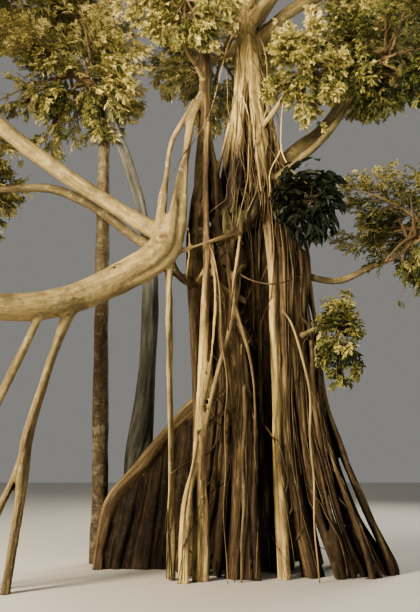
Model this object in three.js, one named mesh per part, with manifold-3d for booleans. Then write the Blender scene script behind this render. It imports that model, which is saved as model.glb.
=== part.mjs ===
// A strangler fig: a trunk of fused roots, its stems and boughs, the aerial roots that prop them, and a
// crown in separate masses of foliage. Millimetres, +Z up. The origin is on the flat cut at ground level.
// The side seen in the photograph looks along -Y, and +X is to its right.
import * as THREE from "three";
import { mergeVertices } from "three/addons/utils/BufferGeometryUtils.js";
import Module from "manifold-3d";

const wasm = await Module();
wasm.setup();

// Driving dimensions
const GAP = 0.3; // clear space between two pieces that touch
const FINEST_ROOT = 12; // bumps among the fused roots smaller than this are smoothed away
const FINEST = 0.5; // the same on the limbs
const FINEST_LEAF = 0.005; // the same in a mass of foliage, as a share of its least reach
const SAME_PLACE = 0.001; // corners nearer than this are one
const BURIED = 300; // how far a root runs on below the ground before it is cut flat
const CORE_SHARE = 0.72; // the solid heart, as a share of the trunk's skin
const ROOT_STANDS = 0.95; // where a root's centre line runs, as a share of the skin
const ROOT_SUNK = 0.6; // the same at a root's upper end, where it has grown into the trunk
const ROOT_COMES_OUT = 0.15; // the share of a root's length over which it comes out of the trunk
const ROOT_POINTS = 9;
const FLARE = 850; // the height over which the roots' spread dies away
const DEEP = 0.85; // the lower trunk is this much shallower than it is wide
// The trunk's middle and the radius of its skin, from the ground up
const TRUNK = [
  { height: 0, middle: [200, 300], radius: 860 },
  { height: 2500, middle: [190, 300], radius: 700 },
  { height: 4700, middle: [200, 290], radius: 740 },
  { height: 5700, middle: [190, 260], radius: 590 },
  { height: 6600, middle: [160, 220], radius: 400 },
  { height: 7700, middle: [125, 175], radius: 290 },
  { height: 9050, middle: [130, 190], radius: 190 },
];
const LEAF_THICK = 0.05; // of a spray's length
const LEAF_WIDE = 0.5; // of a spray's length
const LEAF_BELLY = 0.42; // where along a spray it is widest
const NEAREST = 12; // least space between foliage and a limb
const SHARE_GAP = 0.025; // least space between two masses, as a share of their reach
const FULL_TURN = 2 * Math.PI;
const GOLDEN_ANGLE = Math.PI * (3 - Math.sqrt(5));

const BARK = { color: 0xb79a68, roughness: 0.8, metalness: 0 };
const SHADED_BARK = { color: 0x6d5b45, roughness: 0.85, metalness: 0 };
const LEAVES = { color: 0x6b7a2a, roughness: 0.5, metalness: 0 };

const degrees = (angle) => (angle * Math.PI) / 180;
const vector = (p) => new THREE.Vector3(...p);
const mix = THREE.MathUtils.lerp;

// Random numbers between 0 and 1 from a seed
const RANDOM = { times: 1664525, plus: 1013904223, range: 2 ** 32 };

function seeded(seed) {
  let state = seed;
  return () => {
    state = (state * RANDOM.times + RANDOM.plus) % RANDOM.range;
    return state / RANDOM.range;
  };
}

// The value at share t of a list of values spread evenly from 0 to 1
function along(values, t) {
  const at = Math.min(t * (values.length - 1), values.length - 1 - 1e-9);
  const k = Math.floor(at);
  return mix(values[k], values[k + 1], at - k);
}

// A closed three.js geometry as a solid that can be joined and cut
function solid(geometry) {
  geometry.deleteAttribute("normal");
  geometry.deleteAttribute("uv");
  const merged = mergeVertices(geometry, SAME_PLACE);
  return new wasm.Manifold(
    new wasm.Mesh({
      numProp: 3,
      vertProperties: merged.attributes.position.array,
      triVerts: new Uint32Array(merged.index.array),
    }),
  );
}

const centreLine = (path) => new THREE.CatmullRomCurve3(path.map(vector), false, "centripetal");

// A cylinder bent along a smooth line, with a radius that changes along it
function limb({ path, radii, sides = 8, steps = 8 }) {
  const line = centreLine(path);
  const frames = line.computeFrenetFrames(steps);
  const tube = new THREE.CylinderGeometry(1, 1, 1, sides, steps);
  const places = tube.attributes.position;
  for (let i = 0; i < places.count; i++) {
    const t = places.getY(i) + 0.5;
    const row = Math.round(t * steps);
    const radius = along(radii, t);
    const place = line
      .getPointAt(t)
      .addScaledVector(frames.normals[row], places.getX(i) * radius)
      .addScaledVector(frames.binormals[row], -places.getZ(i) * radius);
    places.setXYZ(i, place.x, place.y, place.z);
  }
  return solid(tube);
}

// Cuts a limb square across, at a distance along its centre line, into the near piece and the far one
function cutAcross(piece, path, distance) {
  const line = centreLine(path);
  const t = distance / line.getLength();
  const normal = line.getTangentAt(t);
  const offset = normal.dot(line.getPointAt(t));
  const near = piece.trimByPlane(normal.clone().negate().toArray(), -offset);
  const far = piece.trimByPlane(normal.toArray(), offset + GAP);
  return [near, far];
}

const levelWithGround = (piece) => piece.trimByPlane([0, 0, 1], 0);

// Joins pieces into one body and drops loose scraps
function fuse(pieces, finest = FINEST) {
  return wasm.Manifold.union(pieces)
    .simplify(finest)
    .decompose()
    .reduce((a, b) => (a.volume() > b.volume() ? a : b));
}

// The trunk
function trunkAt(height) {
  const above = TRUNK.findIndex((ring) => ring.height >= height);
  const k = above < 0 ? TRUNK.length - 1 : Math.max(1, above);
  const [low, high] = [TRUNK[k - 1], TRUNK[k]];
  const t = THREE.MathUtils.smoothstep(height, low.height, high.height);
  return {
    x: mix(low.middle[0], high.middle[0], t),
    y: mix(low.middle[1], high.middle[1], t),
    radius: mix(low.radius, high.radius, t),
  };
}

// A point of the trunk at an angle from +X towards +Y, at a share of its skin
function onTrunk(height, angle, stands, spread = 0) {
  const ring = trunkAt(height);
  const radius = ring.radius * stands + spread;
  const turn = degrees(angle);
  return [ring.x + radius * Math.cos(turn), ring.y + radius * DEEP * Math.sin(turn), height];
}

// A root's line down the trunk: it comes out of the trunk at its top, turns through its angles and spreads
// at its foot
function rootPath({ top, angles, reach, flare = FLARE }) {
  const path = [];
  for (let k = 0; k <= ROOT_POINTS; k++) {
    const t = k / ROOT_POINTS;
    const height = top * (1 - t);
    const out = THREE.MathUtils.smoothstep(t, 0, ROOT_COMES_OUT);
    const stands = mix(ROOT_SUNK, ROOT_STANDS, out);
    const spread = (reach - TRUNK[0].radius * ROOT_STANDS) * Math.exp(-height / flare);
    path.push(onTrunk(height, along(angles, t), stands, spread));
  }
  const foot = path[ROOT_POINTS];
  path.push([foot[0], foot[1], -BURIED]);
  return path;
}

// The roots that stand out on the front: 270 degrees faces the viewer
const FRONT_ROOTS = [
  { top: 5400, angles: [214, 220, 219, 212], reach: 1130, radii: [70, 80, 95, 120] },
  { top: 8300, angles: [222, 226, 230, 226, 239, 247, 249], reach: 1100, radii: [55, 85, 80, 90, 110] },
  { top: 8800, angles: [248, 244, 240, 232, 248, 261, 257], reach: 1060, radii: [50, 85, 85, 85, 115] },
  { top: 8600, angles: [276, 279, 282, 288, 291, 289, 284], reach: 1090, radii: [50, 80, 72, 80, 100] },
  { top: 8200, angles: [304, 300, 302, 305, 304, 306], reach: 1130, radii: [50, 80, 85, 100, 125] },
  { top: 5600, angles: [312, 318, 322, 318], reach: 1420, flare: 1400, radii: [80, 90, 110, 140] },
  { top: 5200, angles: [326, 332, 333, 328], reach: 1700, flare: 1800, radii: [80, 100, 115, 140] },
  { top: 7600, angles: [336, 342, 345, 346, 342], reach: 1850, flare: 2000, radii: [60, 90, 105, 120, 145] },
];
const BACK_ROOTS = {
  count: 8,
  angles: [0, 200],
  tops: [[7600, 8700], [5000, 6000]], // every other root starts high up
  strays: [9, 14], // how far its middle and its foot turn aside, in degrees
  reach: [1050, 1500],
  stout: [105, 140],
  taper: [0.5, 0.8, 0.95, 1.3],
  seed: 7,
};
const CROSS_ROOTS = {
  count: 5,
  angles: [224, 262],
  heights: [2300, 4400],
  climb: 620,
  stands: 1.02,
  radii: [34, 46, 34],
  seed: 5,
};

function backRoots() {
  const { count, angles, tops, strays, reach, stout, taper, seed } = BACK_ROOTS;
  const random = seeded(seed);
  const between = ([low, high]) => mix(low, high, random());
  const roots = [];
  for (let k = 0; k < count; k++) {
    const angle = mix(...angles, (k + 0.5) / count);
    const turns = [angle, ...strays.map((stray) => angle + between([-stray, stray]))];
    const path = rootPath({ top: between(tops[k % 2]), angles: turns, reach: between(reach) });
    const radius = between(stout);
    roots.push({ path, radii: taper.map((share) => share * radius) });
  }
  return roots;
}

// Thin roots that cross the front ones and have grown into them
function crossRoots() {
  const { count, angles, heights, climb, stands, radii, seed } = CROSS_ROOTS;
  const random = seeded(seed);
  const roots = [];
  for (let k = 0; k < count; k++) {
    const [from, to] = [random(), random()].map((share) => mix(...angles, share));
    const height = mix(...heights, (k + random()) / count);
    const path = [0, 0.5, 1].map((t) => onTrunk(height + climb * (t - 0.5), mix(from, to, t), stands));
    roots.push({ path, radii, steps: 3 });
  }
  return roots;
}

// The solid heart, which widens to nearly the whole trunk towards the crown
const CORE_HEIGHTS = [-BURIED, 1300, 2700, 4100, 5200, 6000, 6900, 7900, 9050];
const CORE_WIDENS = [5200, 8500];
const CORE_SHARE_ABOVE = 0.95;

function trunkCore() {
  const rings = CORE_HEIGHTS.map((height) => trunkAt(Math.max(height, 0)));
  const path = rings.map(({ x, y }, k) => [x, y, CORE_HEIGHTS[k]]);
  const radii = rings.map(({ radius }, k) => {
    const above = THREE.MathUtils.smoothstep(CORE_HEIGHTS[k], ...CORE_WIDENS);
    return mix(CORE_SHARE, CORE_SHARE_ABOVE, above) * radius;
  });
  return limb({ path, radii, sides: 8, steps: 7 });
}

// The dark cleft in the trunk's front
const CLEFT = {
  path: [[240, -620, 500], [250, -470, 2200], [240, -450, 3800], [230, -560, 5000]],
  radii: [250, 230, 220, 120],
  sides: 6,
  steps: 4,
};

// Roots that stand clear of the trunk on its left, with the links that hold them to it
const LEFT_ROOTS = [
  // the straight dark stem and the root that it sends down
  {
    path: [
      [-620, 40, 8550], [-610, -20, 7100], [-655, -50, 5900], [-735, -90, 4900],
      [-735, -130, 4150], [-690, -170, 3300], [-700, -220, 1600], [-790, -260, -BURIED],
    ],
    radii: [110, 110, 125, 165, 130, 85, 90, 120],
    sides: 7,
    steps: 8,
  },
  // the pale root that runs down its edge and forks above the ground
  {
    path: [
      [-560, -80, 6900], [-590, -330, 5760], [-570, -470, 4860], [-555, -520, 4330],
      [-600, -570, 3500], [-650, -630, 2600], [-700, -700, 1500], [-715, -790, 300],
      [-725, -800, -BURIED],
    ],
    radii: [40, 40, 42, 85, 70, 62, 72, 78, 90],
    sides: 6,
    steps: 9,
  },
  { path: [[-690, -690, 1600], [-890, -820, 900], [-920, -900, -BURIED]], radii: [50, 58, 70], steps: 3 },
  // a root that slants from the dark stem into the trunk
  {
    path: [[-600, -30, 7000], [-520, -60, 6400], [-420, -120, 5700], [-360, -220, 5000], [-300, -300, 4400]],
    radii: [50, 80, 90, 90, 80],
    steps: 4,
  },
  // links
  { path: [[-730, -110, 5000], [-300, 0, 5100], [100, 200, 5200]], radii: [90, 80, 80], steps: 3 },
  { path: [[-590, -330, 5500], [-700, -150, 5250]], radii: [45, 60], steps: 1 },
  { path: [[-555, -510, 4360], [-640, -330, 4260], [-740, -130, 4180]], radii: [70, 70, 90], steps: 2 },
  { path: [[-560, -520, 4250], [-330, -330, 4050], [0, -60, 3900]], radii: [60, 60, 80], steps: 2 },
  { path: [[-680, -680, 1900], [-420, -400, 2150], [0, -60, 2400]], radii: [55, 60, 80], steps: 2 },
  { path: [[-700, -210, 2300], [-350, 0, 2500], [100, 200, 2700]], radii: [60, 70, 80], steps: 2 },
  // a thin climbing stem from the top of the trunk to the fork
  {
    path: [
      [100, 150, 8700], [-180, -380, 8250], [-560, -600, 6700], [-960, -720, 5970], [-1240, -900, 5290],
    ],
    radii: [30, 24, 22, 20, 16],
    sides: 4,
  },
  // the bent root under the fork, and the straight one that runs across to the trunk
  { path: [[-740, -160, 4170], [-880, -430, 4140], [-975, -590, 4180]], radii: [85, 75, 60], steps: 3 },
  {
    path: [[-845, -645, 4575], [-600, -650, 4660], [-300, -480, 4820], [0, -200, 5050]],
    radii: [28, 38, 42, 45],
    steps: 3,
  },
  {
    path: [[-845, -590, 4960], [-825, -650, 4585], [-880, -480, 4170]],
    radii: [16, 20, 22],
    sides: 4,
    steps: 3,
  },
];
// The swollen ledge of grown-together roots over the cleft
const LEDGE = {
  path: [[-420, -270, 4950], [-150, -420, 5060], [110, -440, 5260], [330, -330, 5520]],
  radii: [80, 120, 120, 80],
  sides: 7,
  steps: 4,
};
// A plank of root that runs out to the left, thick along its top edge
const PLANK = {
  top: [[-250, 2750], [-900, 2250], [-1500, 1500], [-1950, 950], [-2130, 300], [-2160, -BURIED]],
  radii: [110, 110, 120, 125, 140, 165],
  thick: 150,
};
const PLANK_BEHIND = [260, 340]; // its distance behind the origin, where it starts and where it ends

function plankRoot() {
  const [near, far] = [PLANK.top[0][0], PLANK.top.at(-1)[0]];
  const behind = (x) => mix(...PLANK_BEHIND, (x - near) / (far - near));
  const outline = new THREE.Shape([...PLANK.top, [near, -BURIED]].map(([x, z]) => new THREE.Vector2(x, z)));
  const web = new THREE.ExtrudeGeometry(outline, { depth: PLANK.thick, bevelEnabled: false });
  web.rotateX(Math.PI / 2);
  web.translate(0, behind(near) + PLANK.thick / 2, 0);
  const edge = PLANK.top.map(([x, z]) => [x, behind(x), z]);
  return [solid(web), limb({ path: edge, radii: PLANK.radii, sides: 6, steps: 7 })];
}

function trunk() {
  const front = FRONT_ROOTS.map((root) => ({ path: rootPath(root), radii: root.radii, steps: 7 }));
  const roots = [...front, ...backRoots(), ...crossRoots(), ...LEFT_ROOTS];
  const core = trunkCore().subtract(limb(CLEFT));
  const grown = [...roots.map((root) => limb({ sides: 5, steps: 5, ...root })), limb(LEDGE)];
  const pieces = [core, ...grown, ...plankRoot()];
  return wasm.Manifold.union(pieces).simplify(FINEST_ROOT);
}

// Stems, boughs and aerial roots. Each grows out of the piece named in from, and its first stretch, as long
// as its collar, belongs to that piece. One with a bend is two pieces, parted at that distance. One that
// joins another piece is fused to it past its collar, and one that is fused to its bearer is a short spur.
const LIMBS = {
  fork_left: {
    from: "trunk",
    collar: 560,
    path: [
      [-610, -20, 7500], [-790, -150, 7050], [-900, -300, 6360], [-1050, -480, 5600],
      [-1090, -600, 4950], [-1160, -640, 4520],
    ],
    radii: [80, 75, 78, 92, 225, 215],
    sides: 7,
    steps: 8,
    extra: [
      {
        path: [
          [-850, -200, 6880], [-1010, -290, 6720], [-1130, -360, 6400], [-1200, -480, 5750],
          [-1270, -580, 5150], [-1230, -620, 4700],
        ],
        radii: [45, 45, 48, 58, 80, 170],
        steps: 7,
      },
      {
        path: [
          [-905, -330, 6260], [-905, -520, 5600], [-935, -600, 5100], [-1020, -610, 4700],
        ],
        radii: [45, 42, 55, 130],
      },
    ],
  },
  bough_left_low: {
    from: "fork_left",
    collar: 430,
    path: [
      [-1130, -620, 4700], [-1450, -700, 4340], [-2050, -880, 3930], [-2810, -1300, 3560],
      [-3650, -1750, 3500], [-4850, -2330, 3760], [-5900, -2800, 4250],
    ],
    radii: [250, 235, 205, 180, 172, 150, 105],
    sides: 8,
    steps: 10,
    bend: 2900,
  },
  bough_left_high: {
    from: "fork_left",
    collar: 420,
    path: [
      [-1150, -480, 4780], [-1900, -420, 5270], [-2910, -800, 5830], [-3900, -1300, 6520],
      [-5000, -1750, 7350],
    ],
    radii: [135, 116, 116, 108, 80],
    steps: 9,
  },
  bough_left_rear: {
    shaded: true,
    from: "fork_left",
    collar: 480,
    path: [
      [-1180, -480, 4640], [-1560, -130, 4830], [-2370, 0, 5470], [-3090, 200, 5860],
      [-3900, 420, 5950], [-4600, 600, 6000],
    ],
    radii: [90, 78, 80, 76, 68, 55],
    sides: 7,
    steps: 9,
  },
  stem_rear: {
    shaded: true,
    path: [
      [-1780, 1300, -BURIED], [-1740, 1280, 900], [-1620, 1240, 2400], [-1560, 1220, 3600],
      [-1570, 1120, 4800], [-1700, 880, 5700], [-2080, 640, 6900], [-2380, 520, 7600],
    ],
    radii: [270, 220, 165, 140, 132, 120, 98, 82],
    sides: 8,
    steps: 12,
  },
  root_rear: {
    from: "trunk",
    collar: 1150,
    joins: "stem_rear",
    path: [[-250, 330, 1150], [-850, 700, 700], [-1350, 1020, 420], [-1740, 1290, 420]],
    radii: [140, 105, 95, 120],
    sides: 6,
    steps: 5,
  },
  crown_bough_left: {
    from: "trunk",
    collar: 330,
    path: [
      [-620, 30, 8400], [-950, 330, 9350], [-1650, 700, 10050], [-2500, 1000, 10400],
      [-3600, 1450, 10600],
    ],
    radii: [120, 118, 112, 104, 80],
  },
  crown_bough_front_left: {
    from: "trunk",
    collar: 330,
    path: [[-620, 0, 8300], [-1250, -850, 9200], [-2200, -1700, 10100]],
    radii: [110, 100, 78],
    sides: 7,
    steps: 6,
  },
  crown_bough_top: {
    from: "trunk",
    collar: 420,
    path: [[130, 190, 8900], [80, 260, 10000], [100, 350, 11200]],
    radii: [165, 130, 92],
    steps: 6,
  },
  crown_bough_front: {
    from: "trunk",
    collar: 430,
    path: [[130, 190, 8900], [60, -900, 9800], [130, -2100, 10250]],
    radii: [135, 115, 80],
    sides: 7,
    steps: 6,
  },
  crown_bough_front_right: {
    from: "trunk",
    collar: 430,
    path: [[130, 170, 8800], [950, -500, 9600], [2150, -1200, 10250]],
    radii: [140, 118, 82],
    sides: 7,
    steps: 6,
  },
  crown_bough_right: {
    from: "trunk",
    collar: 560,
    path: [[130, 180, 8350], [880, 160, 9150], [1850, 300, 9750], [3200, 450, 9950]],
    radii: [125, 105, 72],
    sides: 7,
    steps: 6,
  },
  crown_bough_back: {
    from: "trunk",
    collar: 420,
    path: [[130, 220, 8700], [100, 1700, 9600], [-80, 3050, 10250]],
    radii: [140, 118, 82],
    sides: 7,
    steps: 6,
  },
  bough_right_rear: {
    from: "trunk",
    collar: 620,
    path: [
      [350, 400, 5900], [980, 950, 6850], [1630, 1500, 7590], [2400, 2200, 9000], [2850, 2700, 9950],
    ],
    radii: [190, 150, 140, 120, 88],
    steps: 9,
  },
  bough_right_high: {
    from: "trunk",
    collar: 420,
    path: [[350, 0, 5750], [820, -330, 6080], [1300, -450, 6500], [1720, -500, 7150]],
    radii: [95, 66, 58, 46],
    sides: 6,
    steps: 6,
  },
  bough_right_low: {
    from: "trunk",
    collar: 420,
    path: [[650, 180, 4520], [1100, 260, 4380], [1540, 300, 4340], [2080, 220, 4560]],
    radii: [90, 64, 56, 50],
    sides: 6,
    steps: 6,
  },
  prop_left_inner: {
    from: "bough_left_low",
    collar: 330,
    path: [
      [-2380, -1060, 3700], [-2520, -1160, 3300], [-2700, -1300, 2480],
      [-2850, -1420, 1700], [-2880, -1540, 900], [-2930, -1660, -BURIED],
    ],
    radii: [95, 66, 72, 88, 68, 78],
    sides: 7,
    steps: 9,
    extra: [
      {
        path: [
          [-2850, -1420, 1800], [-2960, -1460, 1350], [-3200, -1540, 700], [-3420, -1600, -BURIED],
        ],
        radii: [50, 56, 58, 66],
      },
    ],
  },
  prop_left_outer: {
    from: "bough_left_low",
    collar: 240,
    path: [
      [-2790, -1290, 3520], [-2900, -1350, 3180], [-3110, -1500, 2540],
      [-3560, -1620, 1250], [-3960, -1720, -BURIED],
    ],
    radii: [90, 60, 62, 66, 80],
    sides: 7,
    steps: 8,
  },
  prop_fork: {
    from: "fork_left",
    collar: 200,
    path: [[-1140, -640, 4450], [-1140, -660, 3950], [-1090, -660, 2600], [-1030, -680, -BURIED]],
    radii: [95, 58, 56, 74],
    sides: 7,
    steps: 7,
  },
  pillar: {
    shaded: true,
    from: "crown_bough_left",
    collar: 260,
    path: [
      [-2440, 990, 10400], [-2450, 985, 9800], [-2400, 930, 6500], [-2330, 900, 3500],
      [-2230, 880, -BURIED],
    ],
    radii: [130, 105, 115, 122, 145],
    steps: 9,
  },
  spur_shade: {
    fused: "trunk",
    path: [[420, 0, 5200], [760, -420, 5330]],
    radii: [60, 42],
    sides: 5,
    steps: 2,
  },
  spur_left: {
    fused: "trunk",
    path: [[-620, -20, 7700], [-760, -330, 7800]],
    radii: [60, 42],
    sides: 5,
    steps: 2,
  },
  spur_sprouts: {
    fused: "trunk",
    path: [[700, 0, 3300], [1120, -400, 3480]],
    radii: [48, 30],
    sides: 5,
    steps: 2,
  },
  spur_right: {
    fused: "trunk",
    path: [[150, 150, 6800], [640, -520, 7120]],
    radii: [70, 42],
    sides: 5,
    steps: 2,
  },
};

// Each mass fills an ellipsoid of its own, from the tip of the limb that bears it
const MASSES = {
  crown_top: {
    bearer: "crown_bough_top",
    centre: [50, 350, 12500],
    reach: [2700, 2600, 1850],
    shoots: 8,
  },
  crown_front: {
    bearer: "crown_bough_front",
    centre: [250, -3300, 11000],
    reach: [2300, 2200, 1650],
    shoots: 7,
  },
  crown_front_right: {
    bearer: "crown_bough_front_right",
    centre: [3350, -1900, 11050],
    reach: [2500, 2300, 1750],
    shoots: 6,
  },
  crown_right: {
    bearer: "crown_bough_right",
    centre: [4700, 600, 10050],
    reach: [2100, 2000, 1600],
    shoots: 6,
  },
  crown_back_right: {
    bearer: "bough_right_rear",
    centre: [3500, 3500, 11100],
    reach: [2500, 2300, 1850],
    shoots: 7,
  },
  crown_back: {
    bearer: "crown_bough_back",
    centre: [-300, 4500, 11050],
    reach: [2500, 2300, 1850],
    shoots: 6,
  },
  crown_left_rear: {
    bearer: "crown_bough_left",
    centre: [-4100, 2200, 11200],
    reach: [2600, 2500, 1800],
    shoots: 7,
  },
  crown_front_left: {
    bearer: "crown_bough_front_left",
    centre: [-3200, -2500, 11050],
    reach: [2600, 2400, 1750],
    shoots: 6,
  },
  left_high: {
    bearer: "bough_left_high",
    centre: [-5900, -1900, 8500],
    reach: [2100, 2000, 1700],
    shoots: 7,
  },
  left_low: {
    bearer: "bough_left_low",
    centre: [-6800, -3200, 5150],
    reach: [1800, 1700, 1400],
    shoots: 8,
  },
  left_rear: {
    bearer: "bough_left_rear",
    centre: [-4950, 900, 6500],
    reach: [1700, 1600, 1350],
    shoots: 7,
  },
  left_inner: {
    bearer: "stem_rear",
    centre: [-3000, 500, 8080],
    reach: [1750, 1400, 1600],
    shoots: 6,
  },
  right_inner: {
    bearer: "bough_right_high",
    centre: [2350, -650, 7850],
    reach: [1500, 1350, 1250],
    shoots: 6,
  },
  right_low: {
    bearer: "bough_right_low",
    centre: [2950, 250, 5300],
    reach: [1600, 1450, 1450],
    shoots: 6,
  },
  shade: {
    bearer: "spur_shade",
    centre: [980, -640, 5300],
    reach: [620, 480, 780],
    shoots: 6,
  },
  sprouts: {
    bearer: "spur_sprouts",
    centre: [1330, -620, 3200],
    reach: [430, 400, 850],
    shoots: 6,
  },
  front_left: {
    bearer: "spur_left",
    centre: [-850, -1250, 8350],
    reach: [1250, 800, 850],
    shoots: 7,
  },
  front_right: {
    bearer: "spur_right",
    centre: [950, -1120, 7250],
    reach: [850, 620, 1150],
    shoots: 5,
  },
};
const STEM = { past: 0.25, bend: 0.3, taper: [0.9, 0.7, 0.25] }; // it runs on past the mass's middle
// Shoots leave the stem between two shares of its length, and end at a share of the mass's reach
const SHOOT = { from: [0.35, 0.9], reach: [0.68, 0.78], stray: 0.6, stout: 0.032, sprays: 3 };
const SHORTER = 0.09; // how much a shoot that meets another mass is drawn in at a time
const SHORTEST = 0.3;
// Sprays stand along the outer part of a shoot; the last one points ahead. Lengths are shares of the mass's
// least reach, and a spray that doesn't fit is turned and made smaller.
const SPRAY = { from: 0.4, to: 0.9, long: [0.56, 0.68], lean: 0.55, leanAtTip: 1.5, droop: 0.25 };
const ATTEMPTS = 6;
const SMALLER = 0.85;
const SEEDS = { first: 101, step: 37 };
const STEEP = 0.9; // the upward share of a direction that is nearly upright

// How far out a place lies in a mass: 0 in its middle and 1 on its edge
function share(mass, p) {
  return Math.hypot(...mass.reach.map((reach, k) => (p.getComponent(k) - mass.centre[k]) / reach));
}

// Whether each place lies in a mass, and further out in every other mass
function keepsToItsSpace(name, places) {
  return places.every((p) => {
    const own = share(MASSES[name], p);
    const others = Object.keys(MASSES).filter((other) => other !== name);
    return own <= 1 && others.every((other) => share(MASSES[other], p) > own + SHARE_GAP);
  });
}

// A three-sided twig that tapers to a point
function twig(start, end, radius) {
  const way = end.clone().sub(start);
  const cone = new THREE.ConeGeometry(radius, way.length(), 3, 1);
  cone.translate(0, way.length() / 2, 0);
  const turn = new THREE.Quaternion().setFromUnitVectors(new THREE.Vector3(0, 1, 0), way.normalize());
  cone.applyQuaternion(turn);
  cone.translate(...start.toArray());
  return solid(cone);
}

// A spray of leaves as one keeled blade: its midrib runs from its foot, in the middle of the shoot, to its
// tip along one side of it, and its widest line crosses the other side
function spray(root, way, face, length) {
  const blade = new THREE.TetrahedronGeometry(1);
  const places = blade.attributes.position;
  const side = new THREE.Vector3().crossVectors(face, way).normalize();
  const up = new THREE.Vector3().crossVectors(way, side).normalize();
  const outline = [];
  for (let i = 0; i < places.count; i++) {
    const [a, b, c] = [places.getX(i), places.getY(i), places.getZ(i)].map(Math.sign);
    const onMidrib = c > 0;
    const ahead = onMidrib ? (a + b + 2) / 4 : LEAF_BELLY;
    const place = root
      .clone()
      .addScaledVector(way, ahead * length)
      .addScaledVector(side, onMidrib ? 0 : ((b - a) * LEAF_WIDE * length) / 4)
      .addScaledVector(up, onMidrib ? 0 : -LEAF_THICK * length);
    places.setXYZ(i, place.x, place.y, place.z);
    outline.push(place);
  }
  return { blade: solid(blade), outline };
}

// A direction square to another, turned round it by an angle
function sideways(ahead, turn) {
  const steep = Math.abs(ahead.z) > STEEP;
  const other = vector(steep ? [1, 0, 0] : [0, 0, 1]);
  return new THREE.Vector3().crossVectors(ahead, other).normalize().applyAxisAngle(ahead, turn);
}

// The stem of a mass starts as thick as the tip that it grows on
function stem(start, tip, end) {
  const bend = start.clone().addScaledVector(tip.way, STEM.bend * start.distanceTo(end));
  const path = [start, bend, end].map((p) => p.toArray());
  return limb({ path, radii: STEM.taper.map((part) => part * tip.radius), sides: 5, steps: 3 });
}

// Where a shoot ends: out from the mass's middle, drawn in as far as its neighbours ask
function shootEnd(name, out, reach) {
  const { centre, reach: size } = MASSES[name];
  for (let far = reach; far > SHORTEST; far -= SHORTER) {
    const end = vector(centre).add(out.clone().multiply(vector(size)).multiplyScalar(far));
    if (keepsToItsSpace(name, [end])) return end;
  }
  return null;
}

// A mass grows from its bearer's tip: a stem to its middle, shoots spread evenly round the stem, and sprays
// round each shoot
function growMass(name, tip, limbs) {
  const mass = MASSES[name];
  const random = seeded(SEEDS.first + SEEDS.step * Object.keys(MASSES).indexOf(name));
  const between = ([low, high]) => mix(low, high, random());
  const clear = (piece) => limbs.every((other) => other.minGap(piece, NEAREST) >= NEAREST);
  const least = Math.min(...mass.reach);
  const middle = vector(mass.centre);
  const start = tip.point.clone().addScaledVector(tip.way, GAP);
  const stemEnd = middle.clone().lerp(start, -STEM.past);
  const pieces = [stem(start, tip, stemEnd)];

  const sprayOn = (root, ahead, lean) => {
    const face = middle.clone().sub(root).normalize();
    let length = least * between(SPRAY.long);
    for (let attempt = 0; attempt < ATTEMPTS; attempt++) {
      const way = sideways(ahead, FULL_TURN * random()).addScaledVector(ahead, lean);
      way.z -= SPRAY.droop;
      const { blade, outline } = spray(root, way.normalize(), face, length);
      if (keepsToItsSpace(name, outline) && clear(blade)) {
        pieces.push(blade);
        return;
      }
      length *= SMALLER;
    }
  };

  for (let k = 0; k < mass.shoots; k++) {
    const height = 1 - (2 * (k + 0.5)) / mass.shoots;
    const flat = Math.sqrt(1 - height * height);
    const turn = k * GOLDEN_ANGLE + SHOOT.stray * random();
    const out = new THREE.Vector3(flat * Math.cos(turn), flat * Math.sin(turn), height);
    const from = start.clone().lerp(stemEnd, between(SHOOT.from));
    const end = shootEnd(name, out, between(SHOOT.reach));
    const shoot = end && twig(from, end, SHOOT.stout * least);
    if (!shoot || !clear(shoot)) continue;
    pieces.push(shoot);
    const ahead = end.clone().sub(from).normalize();
    for (let s = 0; s < SHOOT.sprays; s++) {
      const root = from.clone().lerp(end, mix(SPRAY.from, SPRAY.to, s / (SHOOT.sprays - 1)));
      const atTip = s === SHOOT.sprays - 1;
      sprayOn(root, ahead, atTip ? SPRAY.leanAtTip : SPRAY.lean);
    }
  }
  return fuse(pieces, FINEST_LEAF * least);
}

function tipOf({ path, radii }) {
  const line = centreLine(path);
  return { point: line.getPointAt(1), way: line.getTangentAt(1), radius: radii.at(-1) };
}

// Grows the trunk and the limbs, and gives each of their pieces by name
function growWood() {
  const parts = { trunk: [trunk()] };
  for (const [name, spec] of Object.entries(LIMBS)) {
    const whole = limb(spec);
    if (spec.fused) {
      parts[spec.fused].push(whole);
      continue;
    }
    const [collar, rest] = spec.from ? cutAcross(whole, spec.path, spec.collar) : [null, whole];
    if (collar) parts[spec.from].push(collar);
    const [near, far] = spec.bend ? cutAcross(rest, spec.path, spec.bend) : [rest, null];
    const extra = (spec.extra ?? []).map((part) => limb({ sides: 5, steps: 5, ...part }));
    if (spec.joins) {
      parts[spec.joins].push(near);
    } else {
      parts[name] = [near, ...extra];
    }
    if (far) parts[`${name}_end`] = [far];
  }
  const made = {};
  for (const [name, pieces] of Object.entries(parts)) made[name] = levelWithGround(fuse(pieces));
  return made;
}

const group = new THREE.Group();

function show(name, piece, look) {
  const mesh = piece.getMesh();
  const geometry = new THREE.BufferGeometry();
  geometry.setAttribute("position", new THREE.BufferAttribute(mesh.vertProperties, 3));
  geometry.setIndex(new THREE.BufferAttribute(mesh.triVerts, 1));
  geometry.computeVertexNormals();
  const shown = new THREE.Mesh(geometry, new THREE.MeshStandardMaterial(look));
  shown.name = name;
  group.add(shown);
}

const wood = growWood();
for (const [name, piece] of Object.entries(wood)) {
  show(name, piece, LIMBS[name]?.shaded ? SHADED_BARK : BARK);
}
for (const [name, mass] of Object.entries(MASSES)) {
  const foliage = growMass(name, tipOf(LIMBS[mass.bearer]), Object.values(wood));
  show(`foliage_${name}`, foliage, LEAVES);
}

export default group;
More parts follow.
